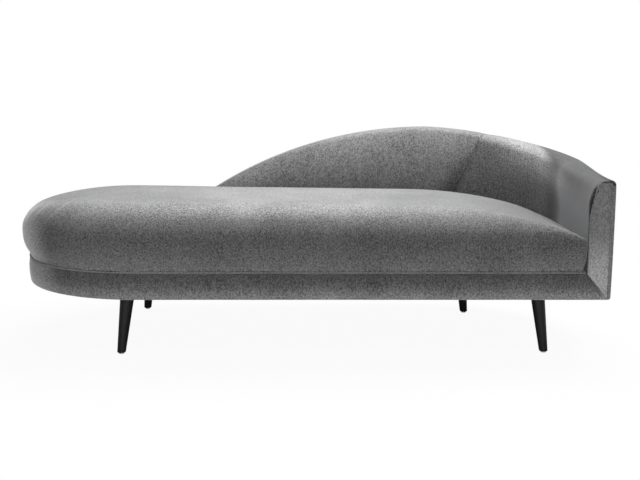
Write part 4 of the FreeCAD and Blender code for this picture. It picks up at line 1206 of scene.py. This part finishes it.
def leg_black(name):
    """Satin black lacquer over turned wood: nearly black, with a faint grain along the leg and a soft coat."""
    finish = Finish(name)
    grain = finish.noise(finish.place((160, 160, 9)), 1.0, 4.0, 0.6)
    smudge = finish.noise(finish.place((30, 30, 12)), 1.0, 3.0)
    rough = finish.node("MapRange", None, {0: smudge, 1: 0.3, 2: 0.7, 3: 0.42, 4: 0.55}).out(0)
    black = finish.ramp(grain, [(0.3, (0.005, 0.005, 0.005)), (0.75, (0.011, 0.010, 0.010))])
    finish.set(base_color=black, roughness=rough,
               coat_weight=0.10, coat_roughness=0.4, specular_ior_level=0.25,
               normal=finish.bump(grain, 0.0001, 0.35))
    return finish.material


def plastic(name, colour, rough=0.45):
    """Moulded plastic with a slight mottle."""
    finish = Finish(name)
    mottle = finish.noise(finish.place((90, 90, 90)), 1.0, 3.0)
    low = tuple(c * 0.88 for c in colour)
    finish.set(base_color=finish.ramp(mottle, [(0.3, low), (0.7, colour)]), roughness=rough,
               normal=finish.bump(mottle, 0.0001, 0.3))
    return finish.material


def plated(name, colour):
    """Plated steel: metallic, with an unevenness from brushing in its roughness."""
    finish = Finish(name)
    brushed_steel_and_painted_light = finish.noise(finish.place((60, 600, 600)), 1.0, 3.0)
    rough = finish.node("MapRange", None, {0: brushed_steel_and_painted_light, 1: 0.3, 2: 0.7, 3: 0.22, 4: 0.42}).out(0)
    low = tuple(c * 0.85 for c in colour)
    finish.set(base_color=finish.ramp(brushed_steel_and_painted_light, [(0.3, low), (0.7, colour)]), metallic=1.0, roughness=rough,
               normal=finish.bump(brushed_steel_and_painted_light, 0.0001, 0.3))
    return finish.material


print("hard finishes are ready")

# %% [markdown]
# One table names every finish by the slot that it fills. The corner panel is cut with its grain turned to follow
# the curve, and the facing's cloth is calmer, because it is stretched over a board; both stay in the slot of the
# seat's cloth. Each solid of the frame gets the finish of the slot that its record names.
# %% Finishes on every piece
FINISHES = {
    "seat_fabric": chenille("seat_fabric_pile", CLOTH_DARK, CLOTH_LIGHT),
    "corner_fabric": chenille("seat_fabric_pile_turned", CLOTH_DARK, CLOTH_LIGHT, (0.0, 0.42, 0.30)),
    "facing_fabric": chenille("seat_fabric_pile_facing", (0.090, 0.090, 0.091), (0.200, 0.200, 0.201)),
    "welt_fabric": chenille("welt_fabric_pile", (0.08, 0.08, 0.081), (0.25, 0.25, 0.251)),
    "dust_cloth": plain_cloth("dust_cloth_black", (0.030, 0.030, 0.031), 900),
    "deck_cloth": plain_cloth("deck_cloth_grey", (0.25, 0.25, 0.255), 700),
    "felt": cellular("felt_needled", (0.40, 0.38, 0.35), (0.62, 0.60, 0.56), 500, 0.0008),
    "fibre": cellular("fibre_white", (0.78, 0.78, 0.77), (0.92, 0.92, 0.91), 300, 0.0015),
    "zip_tape": plastic("zip_tape_grey", (0.20, 0.20, 0.205), 0.6),
    "glide_plastic": plastic("glide_plastic_pale", (0.82, 0.80, 0.74)),
    "leg_finish": leg_black("leg_finish_black"),
    "plated_steel": plated("plated_steel_zinc", (0.60, 0.60, 0.58)),
    "plywood": timber("plywood_raw", (0.52, 0.38, 0.22), (0.72, 0.57, 0.38), 0.75),
    "foam": cellular("foam_cut", (0.80, 0.72, 0.52), (0.95, 0.90, 0.74), 600, 0.0006),
    "frame_timber": timber("frame_timber_planed", (0.46, 0.32, 0.18), (0.68, 0.50, 0.31), 0.6),
}
OWN_CUT = {"corner_panel": "corner_fabric", "arm_facing": "facing_fabric"}

for name, slot in SLOTS.items():
    piece = bpy.data.objects[name]
    piece.data.materials.clear()
    piece.data.materials.append(FINISHES[OWN_CUT.get(name, slot)])
for row in frame["record"]["subparts"]:
    node = frame["nodes"][row["node"]]
    node.data.materials.clear()
    node.data.materials.append(FINISHES[row["material_slot"]])
print("finishes:", len(FINISHES), "on", len(SLOTS), "pieces and", len(frame["nodes"]), "nodes")

# %% [markdown]
# ## Studio
# The room is a soft studio: a broad light high behind, a weaker one high in front, a faint one at eye level, and a
# low one that stands for light thrown back by the floor onto the band. For the camera alone the floor and the room
# are lifted to white. So the floor still takes the faint shadow of the chaise, and no extra light falls on it.
# %% Floor, lights and room
FLOOR_WHITE = 0.945


def floor_finish():
    """Pale matt floor whose camera view is lifted to white, fully so a step away from the chaise."""
    finish = Finish("studio_floor")
    finish.set(base_color=(0.80, 0.80, 0.80, 1), roughness=1.0, specular_ior_level=0.0)
    seen = finish.node("LightPath").out("Is Camera Ray")
    glow = finish.node("Emission", None, {"Color": (1, 1, 1, 1), "Strength": 1.0}).out(0)
    place = finish.place((0.55, 1.0, 1.0))
    away = finish.node("VectorMath", {"operation": "LENGTH"}, {0: place}).out("Value")
    spread = {0: away, 1: 0.45, 2: 1.3, 3: FLOOR_WHITE, 4: 1.0}
    white = finish.node("MapRange", {"interpolation_type": "SMOOTHSTEP"}, spread).out(0)
    mix = finish.node("MixShader", None, {0: seen * white, 1: finish.surface_out(), 2: glow}).out(0)
    finish.feed(finish.tree.nodes["Material Output"].inputs["Surface"], mix)
    return finish.material


floor_mesh = bpy.data.meshes.new("floor")
floor_mesh.from_pydata([(-9, -7, 0), (9, -7, 0), (9, 11, 0), (-9, 11, 0)], [], [(0, 1, 2, 3)])
floor = bpy.data.objects.new("floor", floor_mesh)
floor_mesh.materials.append(floor_finish())
bpy.context.scene.collection.objects.link(floor)


def area_light(name, place, aim, width, height, watts):
    """Soft box of light at a place, turned towards another."""
    lamp = bpy.data.lights.new(name, "AREA")
    lamp.shape = "RECTANGLE"
    lamp.size, lamp.size_y = width, height
    lamp.energy = watts
    light = bpy.data.objects.new(name, lamp)
    light.location = place
    light.rotation_euler = (Vector(aim) - Vector(place)).to_track_quat("-Z", "Y").to_euler()
    bpy.context.scene.collection.objects.link(light)


area_light("top_light", (0.6, 0.9, 2.7), (0.0, -0.1, 0.4), 3.6, 1.5, 125)
area_light("high_light", (-0.4, -2.6, 3.4), (0.0, 0.0, 0.4), 3.4, 1.2, 45)
area_light("front_light", (-0.6, -4.6, 1.0), (0.0, 0.0, 0.4), 3.4, 1.2, 12)
area_light("bounce_light", (0.0, -2.0, 0.10), (0.0, -0.3, 0.28), 3.8, 0.5, 14)

world = bpy.data.worlds.new("studio")
world.use_nodes = True
bpy.context.scene.world = world
links, nodes = world.node_tree.links, world.node_tree.nodes
nodes.clear()
room, white = nodes.new("ShaderNodeBackground"), nodes.new("ShaderNodeBackground")
for background, strength in ((room, 0.16), (white, 1.0)):
    background.inputs["Color"].default_value = (1, 1, 1, 1)
    background.inputs["Strength"].default_value = strength
choice = nodes.new("ShaderNodeMixShader")
links.new(nodes.new("ShaderNodeLightPath").outputs["Is Camera Ray"], choice.inputs[0])
links.new(room.outputs[0], choice.inputs[1])
links.new(white.outputs[0], choice.inputs[2])
links.new(choice.outputs[0], nodes.new("ShaderNodeOutputWorld").inputs["Surface"])
bpy.context.scene.view_settings.view_transform = "Standard"
bpy.context.scene.view_settings.look = "None"
